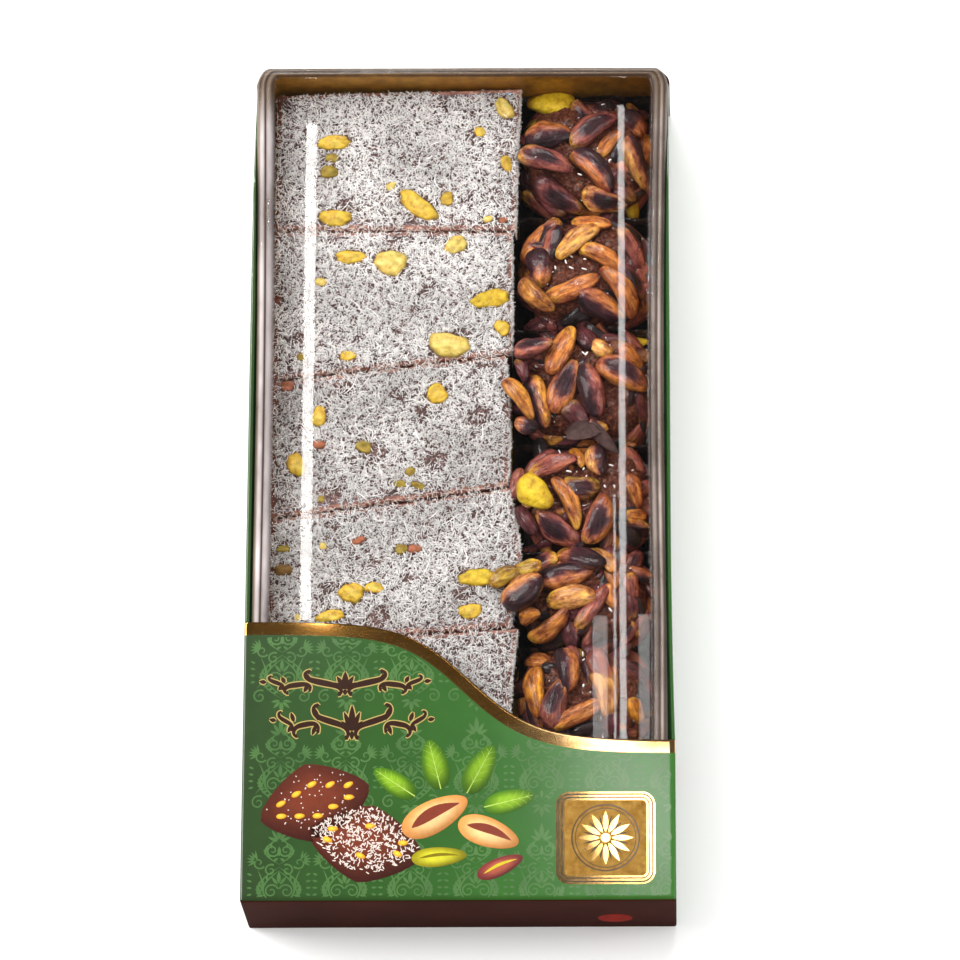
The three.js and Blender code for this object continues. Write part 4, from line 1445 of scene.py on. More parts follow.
def slab_coconut(k):
    """The grated coconut on slab k: short fibres over its top, fewer near its cuts and in bare patches, some
    long curled ones, and a sparse dusting on its sides."""
    draw = np.random.default_rng(200 + k)
    corners = slab_corners(k, 0.0, SLAB_LEAN)
    count = COCONUT[k]
    tries = int(count * 1.75)
    u, v = draw.uniform(0, 1, (2, tries))
    near = corners[0] + (corners[1] - corners[0]) * u[:, None]
    far = corners[3] + (corners[2] - corners[3]) * u[:, None]
    place = near + (far - near) * v[:, None]
    x, y = place.T
    cuts = edge_distance(k, x, y)
    bare = smooth_step(0.55, 1.5, ripple(220 + k, 15)(x, y)) * 0.55
    bare += 0.5 * smooth_step(-0.1, 1.3, ripple(230 + k, 3.0, 12)(x, y))
    patchy = np.clip(0.5 + ripple(250 + k, 7)(x, y), 0.15, 1.2)
    thin = 0.78 * np.exp(-cuts[0] / 1.6) + 0.62 * np.exp(-cuts[2] / 1.2)
    thin += 0.9 * patchy * np.exp(-cuts[1] / 1.3)
    thin += 0.42 * np.exp(-cuts[3] / 3.0)
    thin += 0.6 * smooth_step(3.6, 1.0, cuts[2]) * smooth_step(-18, -6, x) * (k == 0)
    keep = draw.uniform(0, 1, tries) > bare + thin + BARENESS[k]
    keep &= ~(in_slice(k, x, y) & (draw.uniform(0, 1, tries) > 0.03)) & (cuts.min(0) > 0.1)
    x, y = x[keep][:count], y[keep][:count]
    cuts = cuts[:, keep][:, :count].min(0)
    n = len(x)
    drop = SLAB_BEVEL * np.clip(1 - cuts / SLAB_BEVEL, 0, 1) ** 2
    z = SLAB_TOP + slab_relief(k)(x, y) - drop + draw.uniform(0.02, 0.5, n)
    length = np.clip(draw.gamma(5.0, 0.27, n), 0.6, 3.6)
    width = draw.uniform(0.32, 0.58, n)
    white = WHITENESS[k] + 0.1 * np.clip(ripple(240 + k, 30)(x, y), -1, 1)
    place, heading, pitch = np.stack([x, y, z], -1), draw.uniform(0, TAU, n), draw.normal(0, 0.16, n)
    curve, tint = draw.normal(0, 0.35, n), fibre_tints(draw, n) * white[:, None]
    parts = []
    for some, segments in ((length < 2.2, 1), (length >= 2.2, 2)):
        parts.append(fibres(*(a[some] for a in (place, heading, pitch, length, width, curve)), segments,
                            tint[some]))

    n = LONG_FIBRES
    long_x = draw.uniform(SLAB_LEFT + 4, SLAB_RIGHT[k] - 4, n)
    span = draw.uniform(0.06, 0.94, n)
    low_y, high_y = (np.interp(long_x, (SLAB_LEFT, SLAB_RIGHT[k]), ends)
                     for ends in (corners[:2, 1], corners[3:1:-1, 1]))
    long_y = low_y + (high_y - low_y) * span
    z = SLAB_TOP + slab_relief(k)(long_x, long_y) + draw.uniform(0.35, 0.6, n)
    parts.append(strewn(draw, np.stack([long_x, long_y, z], -1), (0, TAU), 0.05, (4.0, 7.5), (0.34, 0.46),
                        0.9, 7, 1.08))

    if k < len(SLAB_NODES) - 1:
        n = JOINT_FIBRES
        over = corners[0] + (corners[1] - corners[0]) * draw.uniform(0.01, 0.99, (n, 1))
        over[:, 1] += draw.normal(-0.1, 0.7, n)
        z = SLAB_TOP - 0.25 + draw.uniform(-0.1, 0.35, n)
        rosy = fibre_tints(draw, n, 0.92) * np.where(draw.uniform(0, 1, (n, 1)) < 0.6, (1, 0.8, 0.7), 1)
        parts.append(strewn(draw, np.c_[over, z], (0, TAU), 0.1, (0.9, 2.6), (0.28, 0.46), 0.4, 1,
                            tint=rosy))

    n = FRINGE_FIBRES
    fringe = corners[1] + (corners[2] - corners[1]) * draw.uniform(0.01, 0.99, (n, 1))
    fringe[:, 0] += draw.uniform(-0.6, 0.25, n) - right_dent(k, fringe[:, 1])
    z = SLAB_TOP - 0.5 + draw.uniform(-0.3, 0.4, n)
    parts.append(strewn(draw, np.c_[fringe, z], (-1.2, 1.2), 0.35, (1.0, 2.6), (0.28, 0.46), 0.4, 1))

    for side, amount in enumerate(SIDE_FIBRES):
        a, b = slab_corners(k)[side], slab_corners(k)[(side + 1) % 4]
        t = draw.uniform(0.01, 0.99, amount)
        level = SLAB_TOP - 0.6 - draw.exponential(6.0, amount)
        level = np.clip(level, SLAB_FOOT + 1, None)
        along = (b - a) / np.hypot(*(b - a))
        outward = np.array([along[1], -along[0]])
        xy = a + (b - a) * t[:, None] + outward * 0.05
        if side == 1:
            xy[:, 0] -= right_dent(k, xy[:, 1])
        stray = np.where(level > SLAB_TOP - 3, draw.uniform(-1.4, 1.4, amount), 0)
        heading = math.atan2(along[1], along[0]) + draw.choice([0, math.pi], amount) + stray
        pitch = draw.normal(0, 0.9, amount) * (stray == 0)
        parts.append(strewn(draw, np.c_[xy, level], heading, pitch, (0.9, 2.2), (0.28, 0.44), 0.3, 2, 0.95))
    return parts


def slab_slices(k):
    """Nut slices set into slab k's top: low uneven domes whose outline is an ellipse with a few waves."""
    parts = []
    draw = np.random.default_rng(300 + k)
    relief = slab_relief(k)
    for mx, my, length, width, turn, kind in SLICES[k]:
        phase = draw.uniform(0, TAU, 4)
        a = np.linspace(0, TAU, 41)[:-1]
        uneven = 1 + sum(high * np.sin(waves * a + shift)
                         for high, waves, shift in zip((0.08, 0.07, 0.04), (2, 3, 7), phase))
        outline = squared(a, SLICE_SQUARENESS) * uneven
        rings, tints = [], []
        base = SLAB_TOP + relief(mx, my)
        swell_up = min(width / 6.0, 1.25)
        for share, rise in ((0.9, -2.0), (1.0, -0.8), (1.0, -0.1), (0.97, 0.3), (0.9, 0.62), (0.78, 0.88),
                            (0.6, 1.04), (0.4, 1.12), (0.2, 1.15), (0.07, 1.16)):
            u, v = np.cos(a) * outline * length / 2 * share, np.sin(a) * outline * width / 2 * share
            x, y = turned((mx, my), u, v, turn).T
            crease = 0.2 * np.sin(1.7 * v + 0.9 * np.sin(0.55 * u + phase[0]) + phase[3])
            crease = crease * smooth_step(1.0, 0.8, share)
            rings.append(np.stack([x, y, base + (rise if rise < 0 else rise * swell_up) + crease], -1))
            # the slice's edge where it dips into the paste, darker and browner: partly its brown skin,
            # partly painted shade
            rim = smooth_step(0.8, 1.0, share)
            heart = smooth_step(0.75, 0.15, share)
            colour = SLICE_TINTS[kind] * (1 - 0.52 * rim) + srgb(132, 76, 30) * 0.16 * rim
            if kind in ("yellow", "pale"):
                colour = colour + (srgb(226, 204, 132) * 0.95 - colour) * 0.22 * heart
            uneven_light = 1 + 0.16 * np.sin(1.1 * u + phase[0]) * np.sin(1.6 * v + phase[1])
            greener = (0.5 + 0.5 * np.sin(a + phase[2]))[:, None] * (0.1, 0.03, 0.1)
            tints.append(colour[None] * (uneven_light[:, None] - greener))
        parts.append(skins(np.array(rings), 0, np.clip(np.array(tints), 0, 1)[None]))
    return parts


# ---------------- nut pieces
# Light colour, deep colour of the streaks
SKIN_TINTS = {
    "tan": (srgb(222, 146, 70), srgb(132, 60, 36)), "rose": (srgb(178, 104, 86), srgb(96, 40, 48)),
    "straw": (srgb(234, 180, 102), srgb(172, 102, 50)), "plum": (srgb(112, 54, 58), srgb(62, 28, 38)),
    "amber": (srgb(222, 150, 44), srgb(140, 70, 28)), "yellow": (srgb(222, 190, 34), srgb(170, 124, 20)),
    "lime": (srgb(190, 160, 54), srgb(116, 72, 34)), "honey": (srgb(226, 160, 62), srgb(138, 70, 36)),
    "black": (srgb(52, 36, 42), srgb(30, 22, 26)),
}
PATCH_TINT = srgb(80, 38, 50)
PATCH_HEART = srgb(32, 20, 28)
PATCH_RIM = srgb(184, 110, 100)
# colour of the painted shade on the kernels' undersides
UNDERSIDE_SHADE = srgb(54, 22, 22)
END_TINT = srgb(238, 186, 66)

# Kernels that show, piece by piece: middle, heading of the pointed end, length, width, skin, lift and dark
# patch, if any
KERNELS = [
    [(31.3, 147.2, 172, 17.4, 11.2, "yellow", 5.4), (50.5, 144.3, 2, 13, 4.5, "plum", -1.5),
     (43.2, 144.6, 10, 6, 4, "rose", -1.5), (30.6, 132.6, 1, 17, 10, "tan", 0.4, "right"),
     (46.8, 134.6, 34, 19.5, 9, "rose", 1.2, "oval"), (61.7, 137.8, -50, 11, 8, "tan", 0.8, "foot"),
     (52.6, 129.3, 52, 13, 6, "tan", 0), (62.7, 121.8, -66, 20.5, 9, "straw", 1.2, "left"),
     (29.6, 121.3, -20, 19.5, 9, "rose", 1, "oval"), (47.2, 119, -49, 20, 10, "tan", 1.2, "left"),
     (34.4, 109.7, -31, 20, 9.5, "plum", 1, "oval"), (51, 108.2, -8, 17, 9, "straw", 1.4, "black"),
     (60.4, 108.4, -75, 11, 6.5, "yellow", 0.6), (54, 102.4, 0, 8.5, 4.6, "yellow", 0.8),
     (23.2, 114.6, 80, 8, 4, "plum", -2), (26.5, 140.2, 5, 9, 4, "lime", -2.5)],
    [(45.9, 99.4, -14, 16, 6.6, "tan", 1.4), (25.4, 93, 58, 16, 6.6, "tan", 0.8),
     (21.8, 84.2, 80, 6.5, 4.6, "tan", 0), (32.3, 91.8, 75, 14, 6.6, "rose", 0.4, "right"),
     (41, 91.8, 39, 19, 7.2, "straw", 1.6), (50.2, 85.3, -33, 17.5, 7.6, "tan", 1),
     (27.6, 82.4, -76, 15, 9.6, "tan", 0.8, "foot"), (39.3, 73.3, 25, 20.5, 8.6, "tan", 1.6),
     (26.4, 69.8, -45, 17, 7.4, "honey", 1), (56.6, 72.8, -58, 21, 7.6, "tan", 1.4),
     (60.6, 76.6, -52, 15, 7, "plum", 0.4, "oval"), (60.5, 89.5, -62, 17, 6.6, "rose", 0.2),
     (64.6, 76.5, -84, 18, 6.6, "rose", -0.4), (49.6, 67.4, -28, 18.5, 9.6, "tan", 1.2, "right"),
     (37.6, 62.6, 80, 9, 4.2, "rose", -0.5), (27, 62.4, -50, 10, 6, "plum", -1)],
    [(35.3, 50.3, 66, 20, 8.6, "tan", 2.4), (25.2, 50.3, 5, 15, 8.6, "rose", 1, "oval"),
     (44.2, 55.8, -60, 12, 8, "plum", 0.2), (52.9, 56, -15, 9, 4.6, "plum", 0),
     (49.6, 51.3, -40, 8.5, 6, "straw", 0.6), (60, 48.5, -50, 11, 8, "tan", 0.2),
     (57.2, 41.2, -28, 19.5, 10, "tan", 1.6, "oval"), (36, 37, 68, 20.5, 9.2, "tan", 1.2, "oval"),
     (45.9, 35.3, -75, 20, 10, "rose", 1.8, "right"), (27, 31.8, -76, 20, 8.6, "honey", 1.8, "right"),
     (20.6, 31.4, -56, 17.5, 6.4, "honey", 1.4), (22.9, 21.4, -20, 8.5, 6.5, "tan", 0.6, "tip"),
     (32.2, 20.4, 3, 12, 6, "honey", 1.2), (40.6, 26, -50, 13, 9, "plum", -0.2),
     (62.2, 22.4, 80, 11, 5.6, "rose", -0.2), (63.6, 30.5, -80, 12, 6, "plum", -0.6),
     (60.2, 18.9, 80, 6.5, 5.6, "tan", 0.2), (21.4, 43, -72, 9, 4.6, "plum", -0.8),
     (62.3, 57.4, 0, 8, 3.8, "yellow", 0.2)],
    [(32, 7.3, 20, 18, 7.6, "rose", 1.8), (41.2, 10.6, -65, 9.5, 5, "amber", 0.8),
     (48, 9.8, -86, 13, 9, "straw", 1, "left"), (26.2, -4.2, -48, 15, 10.6, "yellow", 2),
     (37.8, -6.3, -66, 20.5, 6.2, "tan", 1.6), (42.3, -0.9, 0, 13, 10.6, "lime", 0.4, "oval"),
     (33.9, -15.6, -35, 18.5, 8.6, "rose", 1.8, "oval"), (48.2, -12.6, 70, 18.5, 9.6, "tan", 1.6, "oval"),
     (53.4, -19.6, -65, 9.5, 6.6, "amber", 1.6), (61.3, -1.7, -75, 12.5, 5.6, "tan", 0.4),
     (61.7, -11, 0, 8, 6, "tan", 0.4), (61, -19, 75, 10, 5, "plum", -0.8),
     (22.8, -13, -60, 12, 6, "plum", -1.5), (19.4, 1, 78, 12, 5, "rose", -3),
     (64.3, -4.5, 60, 8, 4, "rose", -1)],
    [(41.9, -26.3, -22, 20, 9, "tan", 1.8, "tip"), (28.9, -26.9, 28, 12, 8, "rose", 1, "oval"),
     (36.9, -33.2, 12, 19, 9.6, "tan", 1.2, "left"), (23.6, -31.3, 5, 10, 6, "lime", 1.6),
     (15.8, -34, 25, 12.5, 6.6, "lime", 0.6), (21.8, -40.4, 35, 16.5, 10.6, "straw", 1.8, "right"),
     (39.1, -41.7, 8, 17.5, 9, "straw", 2), (46.2, -44.8, 54, 18, 6.6, "rose", 1),
     (24.2, -48.7, 15, 8, 6.6, "amber", 0.6), (31.3, -51.2, 34, 18, 7, "tan", 1.6),
     (33.5, -54, 25, 15, 7, "black", -0.2), (50.4, -26.8, -54, 14.5, 6.6, "straw", 0.8),
     (52.6, -40.6, -75, 9.5, 4.6, "tan", 0), (53.4, -34, -70, 9, 5, "tan", -0.4),
     (60.2, -36.5, -80, 9.5, 5.6, "rose", -0.2), (60.4, -44, -80, 9, 5, "plum", -0.6),
     (61.2, -50.5, -70, 8, 4, "straw", -0.4)],
    [(51.4, -59, -18, 11.5, 4.6, "yellow", 1), (27.4, -62.4, -15, 11.5, 8, "tan", 0.8),
     (35.6, -60.4, 10, 6, 4.6, "yellow", 0.6), (41, -60.6, -30, 7, 5, "lime", 0.2),
     (37.3, -67.6, -82, 16, 9.6, "tan", 1.6, "right"), (26.2, -75.3, -85, 18.5, 8, "amber", 1.6),
     (33.4, -80, 78, 18.5, 9.6, "rose", 1.2, "oval"), (40.5, -84.2, 26, 19.5, 7, "tan", 1.8),
     (49, -66.4, -65, 14, 8.6, "rose", 1), (50.2, -76, -76, 17.5, 8.6, "straw", 1.2),
     (45.5, -68, -75, 12, 6, "plum", -0.2), (61.2, -82, -70, 9.5, 6, "amber", 0.2),
     (53.2, -88, -80, 10.5, 6, "plum", 0), (44, -89, 10, 14, 7, "black", -0.4),
     (53.6, -72, -85, 12, 4, "tan", 0), (61, -89, -80, 9, 5, "rose", 0)],
    [],
]
# Where the paste shows between the kernels: middle and reach
BARE = [(31.5, 146, 5.5), (43, 117.5, 4.5), (41, 82.3, 4.5), (51.5, 91.5, 2.5), (54, 29, 4), (51.5, 2, 4),
        (43.5, -76, 4.5), (39, 126, 1)]
CRUMB_PLACES = [
    (38.5, 119.5), (42, 117), (53, 122), (52.6, 117), (50.5, 145), (37, 83.7), (38.9, 85.7),
    (43.8, 84.6), (39, 81.4), (43.6, 80.9), (33.2, 81.5), (64, 95.5), (51.2, 71.2), (26.4, 45.2),
    (23.5, 42.6), (43.2, 49.2), (44.3, 49), (34.5, 14.6), (43.2, 6), (44.2, 2.9), (50.8, -0.6),
    (54, -0.7), (53, 7.2), (38, 5), (66, 17), (45.5, -24.5), (52.6, -46), (42.7, -61),
    (43, -63.8), (43, -73.5), (46.2, -78.6), (42.5, -80.3), (49.6, -91), (35, -56), (63.5, -32),
]


NUT_SQUARENESS = 3.2  # power of the nut pieces' outline, 2 being an ellipse
NUT_EDGE = 0.985  # the outermost ring of a nut piece's core
NUT_MARGIN = np.array([1.6, 0.9])  # from a nut piece's sides to its core, taken up by kernels
NUT_COVER = 5.0  # height of the kernels on the core
UNLISTED, UNDER, ROUND_SIDE = 24, 26, 16  # kernels where none are listed, under those, and round the side
GOLDEN_ANGLE = 2.39996
KERNEL_GROWTH = (1.04, 1.07)  # of the listed lengths and widths, which are those of the lit part
OVER_SLABS = 18.5  # kernels that reach to the left of this lie on the slabs
GRAIN_SHIFT = 37.0  # between two kernels' grain coordinates, so that no two look alike
CRUMBS = 16  # on each nut piece, besides those listed


def nut_shape(k):
    """Middle, half sizes, foot and top of nut piece k's core, from its CAD node."""
    low, high = node_box(NUT_NODES[k])
    middle = (low + high) / 2
    return middle[:2], (high - low)[:2] / 2 - NUT_MARGIN, low[2], high[2] - NUT_COVER


def nut_dome(k, x, y):
    """Height of nut piece k's core: foot plus rise times (1 - r^6)^(1/3), where r is a squared-off distance
    from its middle."""
    (mx, my), (half_x, half_y), foot, top = nut_shape(k)
    p = NUT_SQUARENESS
    r = (np.abs((x - mx) / half_x) ** p + np.abs((y - my) / half_y) ** p) ** (1 / p)
    r = np.minimum(r, NUT_EDGE)
    return foot + (top - foot) * (1 - r ** 6) ** (1 / 3)


def nut_core(k):
    """Nut piece k's paste: rings from its foot up its side and in over the dome, with soft knobs."""
    (mx, my), (half_x, half_y), foot, top = nut_shape(k)
    a = np.linspace(0, TAU, 121)[:-1]
    square = squared(a, NUT_SQUARENESS)
    knobs, grains = ripple(400 + k, 7), ripple(420 + k, 2.6)
    rings = []
    for r in (0.9, 0.96, NUT_EDGE, 0.97, *np.linspace(0.94, 0.05, 24)):
        x, y = mx + half_x * square * np.cos(a) * r, my + half_y * square * np.sin(a) * r
        rings.append(np.stack([x, y, foot + (top - foot) * (1 - r ** 6) ** (1 / 3) + 0 * x], -1))
    rings = np.array(rings)
    rings[0, :, 2] = foot
    rings[1, :, 2] = foot + 4.0
    bumps = 0.5 * knobs(rings[..., 0], rings[..., 1]) + 0.28 * grains(rings[..., 0], rings[..., 1])
    rings[..., 2] += bumps * (np.arange(len(rings)) > 3)[:, None]
    return skins(rings)


def one(values):
    """One value for each kernel, shaped to work on the kernel's own grid."""
    return np.asarray(values, float)[:, None, None]


def kernels(places, seed, rows=20, around=20, look=0):
    """Pistachio kernels, all worked out at once. t runs from the blunt end (-1) to the pointed end (1) and a
    about it. The half width is (1 - t^2)^0.37 drawn in towards the pointed end; round a it is an ellipse
    with ridges and dents; the whole bends sideways with t squared. Each is then tilted to the ground under
    it, turned to its heading and set in place. A place is the middle (3), heading, length, width, tilt
    along, tilt across, skin and dark patch, if any."""
    draw = np.random.default_rng(seed)
    numbers = np.array([p[:8] for p in places], float)
    n = len(numbers)
    middle, heading = numbers[:, :3], np.radians(numbers[:, 3])
    length, width, pitch, bank = numbers[:, 4:8].T * np.array([*KERNEL_GROWTH, 1, 1])[:, None]
    t, a = np.meshgrid(np.sin(np.linspace(-1, 1, rows) * math.pi / 2 * 0.985),
                       np.linspace(0, TAU, around + 1)[:-1], indexing="ij")
    t, a = t[None], a[None]
    phase = draw.uniform(0, TAU, (6, n))[..., None, None]
    blunt = np.clip(1 - t ** 2, 0, 1) ** 0.37
    drawn = 1 - one(draw.uniform(0.1, 0.34, n)) * (1 + t) / 2
    ridges = (1 + 0.06 * np.sin(5 * a + phase[0] + 1.6 * np.sin(2.4 * t + phase[1]))
              + 0.03 * np.sin(8 * a - phase[2] + 3 * t)
              + 0.035 * np.sin(6 * t + phase[4] + 2 * np.cos(a + phase[5])))
    half = one(width) / 2 * blunt * drawn * ridges
    deep = one(draw.uniform(0.62, 0.8, n)) * (1 + 0.1 * np.sin(3 * t + phase[3]))
    bend = one(np.clip(draw.normal(0, 0.06, n), -0.1, 0.1)) * one(length) * (t ** 2 - 0.4)
    u = t * one(length) / 2
    v = half * np.cos(a) * (1 + 0.1 * np.sin(2.2 * t + phase[5])) + bend
    seam = 0.16 * np.exp(-((np.cos(a) - 0.35 * np.sin(phase[0])) / 0.22) ** 2) * (np.sin(a) > 0)
    w = half * deep * np.sin(a) * (1 - seam) - 0.05 * one(length) * (t ** 2 - 0.4)
    own = np.repeat(np.arange(n) * GRAIN_SHIFT, rows * around + 2)[:, None]
    grain = skins(np.stack([u + 0 * v, v, w], -1))["points"] + own
    spin = one(np.radians(bank))
    v, w = v * np.cos(spin) - w * np.sin(spin), v * np.sin(spin) + w * np.cos(spin)
    lean = one(np.radians(pitch))
    u, w = u * np.cos(lean) - w * np.sin(lean), u * np.sin(lean) + w * np.cos(lean)
    turn = one(heading)
    x = one(middle[:, 0]) + u * np.cos(turn) - v * np.sin(turn)
    y = one(middle[:, 1]) + u * np.sin(turn) + v * np.cos(turn)
    z = one(middle[:, 2]) + w
    made = skins(np.stack([x, y, z], -1), look, kernel_tints([p[8:10] for p in places], t, a, phase, draw))
    made["grain"] = grain
    return made


def kernel_tints(looks, t, a, phase, draw):
    """Each kernel's colours: its skin's light colour with deeper streaks along it, deeper ends and flanks,
    an underside darkened as painted shade, then a dark patch with a rosy rim where the looks say."""
    n = len(looks)
    light, deep = (np.array([SKIN_TINTS[skin][i] for skin, _ in looks])[:, None, None] for i in (0, 1))
    pure = one([0.75 if skin == "yellow" else 1.0 for skin, _ in looks])
    side, up = np.cos(a), np.sin(a)
    streak = 0.5 + 0.5 * np.sin(5 * side + phase[1] + 0.9 * np.sin(2.6 * t + phase[2]))
    tilt = 0.5 + 0.5 * side * np.sign(np.sin(phase[5]))
    streak = 0.4 * streak + 0.45 * smooth_step(0.45, 1.0, np.abs(t)) + 0.35 * tilt ** 2
    tint = light + (deep - light) * np.clip(streak * pure, 0, 1)[..., None]
    bright_end = one(draw.choice((-1.0, 1.0), n) * draw.uniform(0.0, 1.0, n) ** 0.5)
    bright_end = smooth_step(0.3, 0.95, t * bright_end + 0.1 * np.sin(4 * side + phase[3]))
    bright_end = bright_end * (pure == 1)
    tint = tint + (END_TINT - tint) * (0.75 * bright_end * smooth_step(0.08, 0.25, light[..., 0]))[..., None]
    # painted shade: each kernel's underside darkened, less on the yellow ones
    under = smooth_step(0.62, -0.35, up) * np.where(pure < 1, 0.35, 0.85)
    tint = tint + (UNDERSIDE_SHADE * (1 + 2.0 * (1 - pure[..., None])) - tint) * under[..., None]

    uneven = (0.12 * np.sin(3 * t + phase[0]) + 0.08 * np.sin(7 * t + 2 * side + phase[3])
              + 0.07 * np.sin(13 * t + 5 * side + phase[4]))
    top = smooth_step(-0.3, 0.3, up)
    shift_t, shift_s = one(draw.uniform(-0.14, 0.14, n)), one(draw.uniform(-0.14, 0.14, n))
    ellipse = np.sqrt(((t - shift_t) / 0.74) ** 2 + ((side - shift_s) / 0.72) ** 2) + uneven * 0.7
    halves = one([{"left": 1.0, "right": -1.0}.get(patch, 0.0) for _, patch in looks])
    half_way = 1.0 - (side * halves + 0.75 * uneven + 0.22)
    ends = one([{"tip": 1.0, "foot": -1.0}.get(patch, 0.0) for _, patch in looks])
    end_way = 1.0 - (0.9 * (t * ends + 0.3) + 0.8 * uneven)
    round_patch = one([patch in ("oval", "black") for _, patch in looks])
    reach = np.select([round_patch > 0, halves != 0, ends != 0], [ellipse, half_way, end_way], 3.0)
    rim = (smooth_step(1.4, 1.06, reach) * top)[..., None]
    patch = (smooth_step(1.12, 0.8, reach) * top)[..., None]
    heart = (smooth_step(0.92, 0.25, reach) * top)[..., None]
    black = one([patch == "black" for _, patch in looks])[..., None]
    tint = tint + (PATCH_RIM - tint) * 0.55 * rim
    tint = tint + (PATCH_TINT * (1 - 0.4 * black) - tint) * patch
    tint = tint + (PATCH_HEART * (1 - 0.3 * black) - tint) * 0.75 * heart
    return np.clip(tint * one(draw.uniform(0.86, 1.1, n))[..., None], 0, 1)


def placed_kernels(k):
    """Two lists of rows for the kernels on nut piece k: those listed, set on the dome and tilted to its
    slope, and those under them and round its side. Where none are listed, they are spread over the dome by a
    spiral."""
    (mx, my), (half_x, half_y), _, _ = nut_shape(k)
    draw = np.random.default_rng(500 + k)
    rows = []
    listed = KERNELS[k]
    if not listed:
        skins_left = ["tan", "rose", "straw", "tan", "plum", "tan", "rose", "yellow"]
        patches = ["", "oval", "", "right", "", "oval", "left", ""]
        for i in range(UNLISTED):
            r, way = math.sqrt((i + 0.5) / UNLISTED) * 0.92, i * GOLDEN_ANGLE
            listed = listed + [(mx + half_x * r * math.cos(way), my + half_y * r * math.sin(way),
                                draw.uniform(0, 360), draw.uniform(15, 19), draw.uniform(7, 9),
                                skins_left[i % 8], draw.uniform(0.2, 1.6), patches[i % 8])]
    for x, y, heading, length, width, skin, lift, *patch in listed:
        step = 2.0
        slope_x = (nut_dome(k, x + step, y) - nut_dome(k, x - step, y)) / (2 * step)
        slope_y = (nut_dome(k, x, y + step) - nut_dome(k, x, y - step)) / (2 * step)
        z = nut_dome(k, x, y)
        c, s = direction(heading)
        reach = x - length / 2 * abs(c) - width / 3
        if reach < OVER_SLABS:
            z = max(z, SLAB_TOP + width * 0.26)
            slope_x, slope_y = 0.25 * slope_x, 0.25 * slope_y
        pitch = math.degrees(math.atan(np.clip(slope_x * c + slope_y * s, -0.55, 0.55)))
        bank = math.degrees(math.atan(np.clip(slope_y * c - slope_x * s, -0.55, 0.55)))
        rows.append((x, y, z + lift, heading, length, width, pitch, bank, skin, patch[0] if patch else ""))
    shown, rows = rows, []
    for i in range(UNDER):
        r, way = math.sqrt(draw.uniform(0.02, 0.94)), draw.uniform(0, TAU)
        square = squared(way, NUT_SQUARENESS)
        x, y = mx + half_x * r * square * math.cos(way), my + half_y * r * square * math.sin(way)
        if any(math.hypot(x - bx, y - by) < reach + 4.5 for bx, by, reach in BARE):
            continue
        rows.append((x, y, nut_dome(k, x, y) - draw.uniform(1.2, 2.8), draw.uniform(0, 360),
                     draw.uniform(12, 17), draw.uniform(6, 8), draw.uniform(-15, 15), draw.uniform(-35, 35),
                     ["plum", "rose", "black", "tan"][i % 4], ["", "oval", "", "right"][i % 4]))
    for i in range(ROUND_SIDE):
        way = (i + draw.uniform(-0.3, 0.3)) * TAU / ROUND_SIDE
        square = squared(way, NUT_SQUARENESS)
        x = mx + (half_x - 1.2) * square * math.cos(way)
        y = my + (half_y - 1.0) * square * math.sin(way)
        rows.append((x, y, draw.uniform(11.5, 16.5), math.degrees(way) + 90 + draw.uniform(-25, 25),
                     draw.uniform(13, 17), draw.uniform(6, 8), draw.uniform(-25, 25), draw.uniform(20, 60),
                     ["tan", "plum", "rose", "plum"][i % 4], ["", "oval", "", ""][i % 4]))
    return shown, rows


def nut_crumbs():
    """White crumbs and fibres that have fallen on the nut pieces."""
    draw = np.random.default_rng(600)
    xy = [np.array(CRUMB_PLACES)]
    for k in range(len(NUT_NODES)):
        (mx, my), (half_x, half_y), _, _ = nut_shape(k)
        r, way = np.sqrt(draw.uniform(0, 0.9, CRUMBS)), draw.uniform(0, TAU, CRUMBS)
        xy.append(np.stack([mx + half_x * r * np.cos(way), my + half_y * r * np.sin(way)], -1))
    xy = np.concatenate(xy)
    listed = np.arange(len(xy)) < len(CRUMB_PLACES)
    z = np.zeros(len(xy))
    for k in range(len(NUT_NODES)):
        low, high = node_box(NUT_NODES[k])
        here = (xy[:, 1] > low[1]) & (xy[:, 1] <= high[1] + 1)
        z = np.where(here, nut_dome(k, xy[:, 0], xy[:, 1]) + 1.0, z)
    z = np.where(z == 0, 15.0, z) + np.where(listed, 0.6, 0.2)
    n = len(xy)
    return [fibres(np.c_[xy, z], draw.uniform(0, TAU, n), draw.normal(0, 0.3, n),
                   np.where(listed, draw.uniform(1.0, 2.2, n), draw.uniform(0.5, 1.0, n)),
                   np.where(listed, draw.uniform(0.7, 1.0, n), draw.uniform(0.3, 0.5, n)),
                   draw.normal(0, 0.3, n), 3, fibre_tints(draw, n, 1.15))]


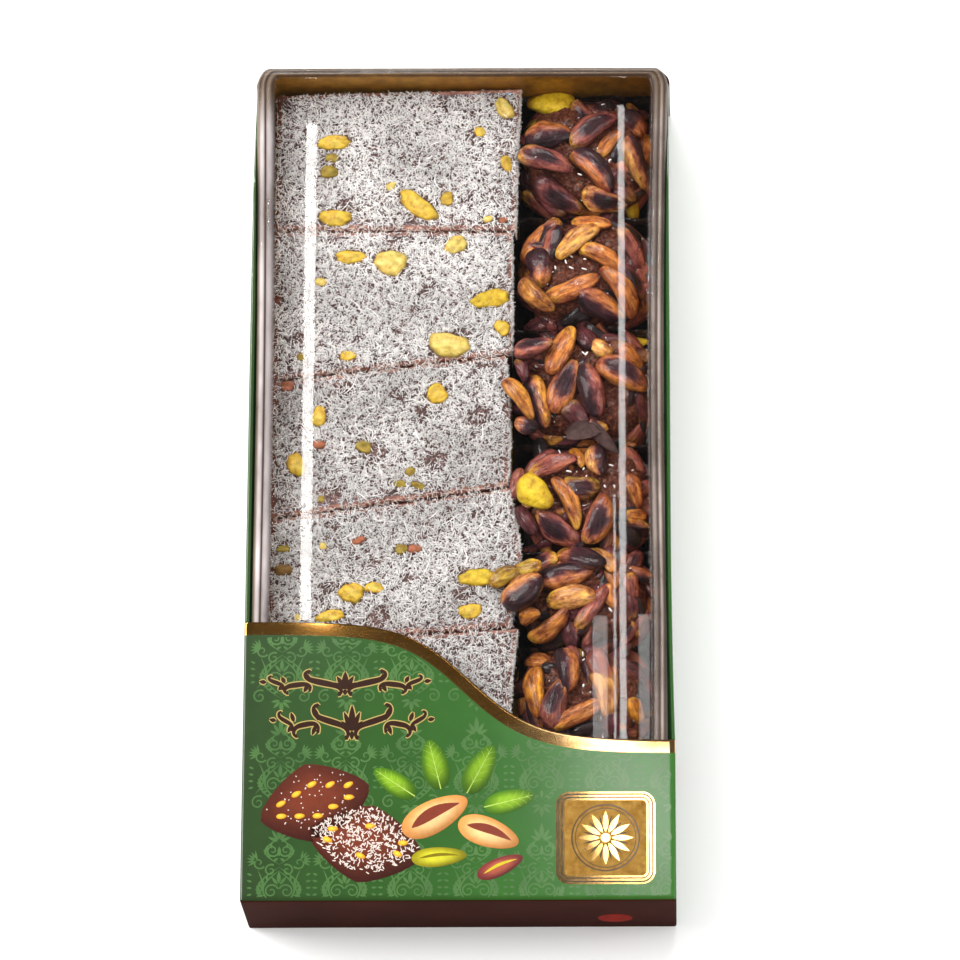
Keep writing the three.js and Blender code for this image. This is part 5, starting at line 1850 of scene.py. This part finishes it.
# ---------------- making everything
def make_carton(finishes):
    sides = [side_wall(side) for side in (-1, 1)]
    looks = [finishes[name] for name in ("green", "brown", "foil", "raw", "hem")]
    new_piece("carton_shell", [top_and_near_wall(), *sides, far_wall(), carton_floor()], looks,
              ["carton"])
    bright, dark, bronze = print_badge()
    for name, parts, finish in (("spot", [end_disc()], "spot"), ("damask", print_damask(), "damask"),
                                ("flourish", print_flourish(), "ink"), ("picture", print_picture(), "ink"),
                                ("badge", bright, "foil"), ("badge_lines", dark, "ink"),
                                ("badge_field", bronze, "bronze")):
        new_piece(f"carton_{name}", parts, [finishes[finish]])


def make_contents(finishes):
    new_piece("tray_foil", tray_parts(), [finishes["tray"]], ["tray"])
    new_piece("liner_sheet", liner_parts(), [finishes["liner"]], ["liner"], 60)
    new_piece("liner_flaps", flap_parts(), [finishes["flap"]], crease=60)
    for k, node in enumerate(SLAB_NODES):
        new_piece(f"{node}_paste", [slab_core(k)], [finishes["paste"], finishes["dusted"]], [node],
                  60)
        new_piece(f"{node}_coconut", slab_coconut(k), [finishes["coconut"]], crease=180)
        slices = slab_slices(k)
        if slices:
            new_piece(f"{node}_nuts", slices, [finishes["flesh"]], crease=180)
    for k, node in enumerate(NUT_NODES):
        new_piece(f"{node}_paste", [nut_core(k)], [finishes["nut_paste"]], [node], 180)
        shown, under = placed_kernels(k)
        fresh = [row for row in shown if row[8] == "yellow"]
        roasted = [row for row in shown if row not in fresh]
        made = [kernels(roasted, 700 + k), kernels(under, 750 + k, 8, 10)]
        if fresh:
            made.append(kernels(fresh, 770 + k, look=1))
        new_piece(f"{node}_kernels", made, [finishes["kernel"], finishes["flesh"]], crease=180)
    new_piece("nut_crumbs", nut_crumbs(), [finishes["coconut"]], crease=180)


make_camera()
make_studio()
FINISHES = {"green": laminated_green(), "hem": shaded_hem_green(), "damask": damask_ink(), "foil": gold_foil(),
            "bronze": bronze_foil(), "brown": brown_end(), "raw": raw_card(), "ink": printed_ink(),
            "spot": spot_ink(), "tray": tray_foil(), "liner": liner_film(), "flap": paper_flap(),
            "paste": carrot_paste(), "dusted": dusted_paste(), "coconut": coconut(), "flesh": kernel_flesh(),
            "kernel": kernel_skin(), "nut_paste": nut_paste(), "film": clear_film()}
make_carton(FINISHES)
make_contents(FINISHES)
new_piece("lid_film", lid_parts(), [FINISHES["film"]], ["lid"], 60)
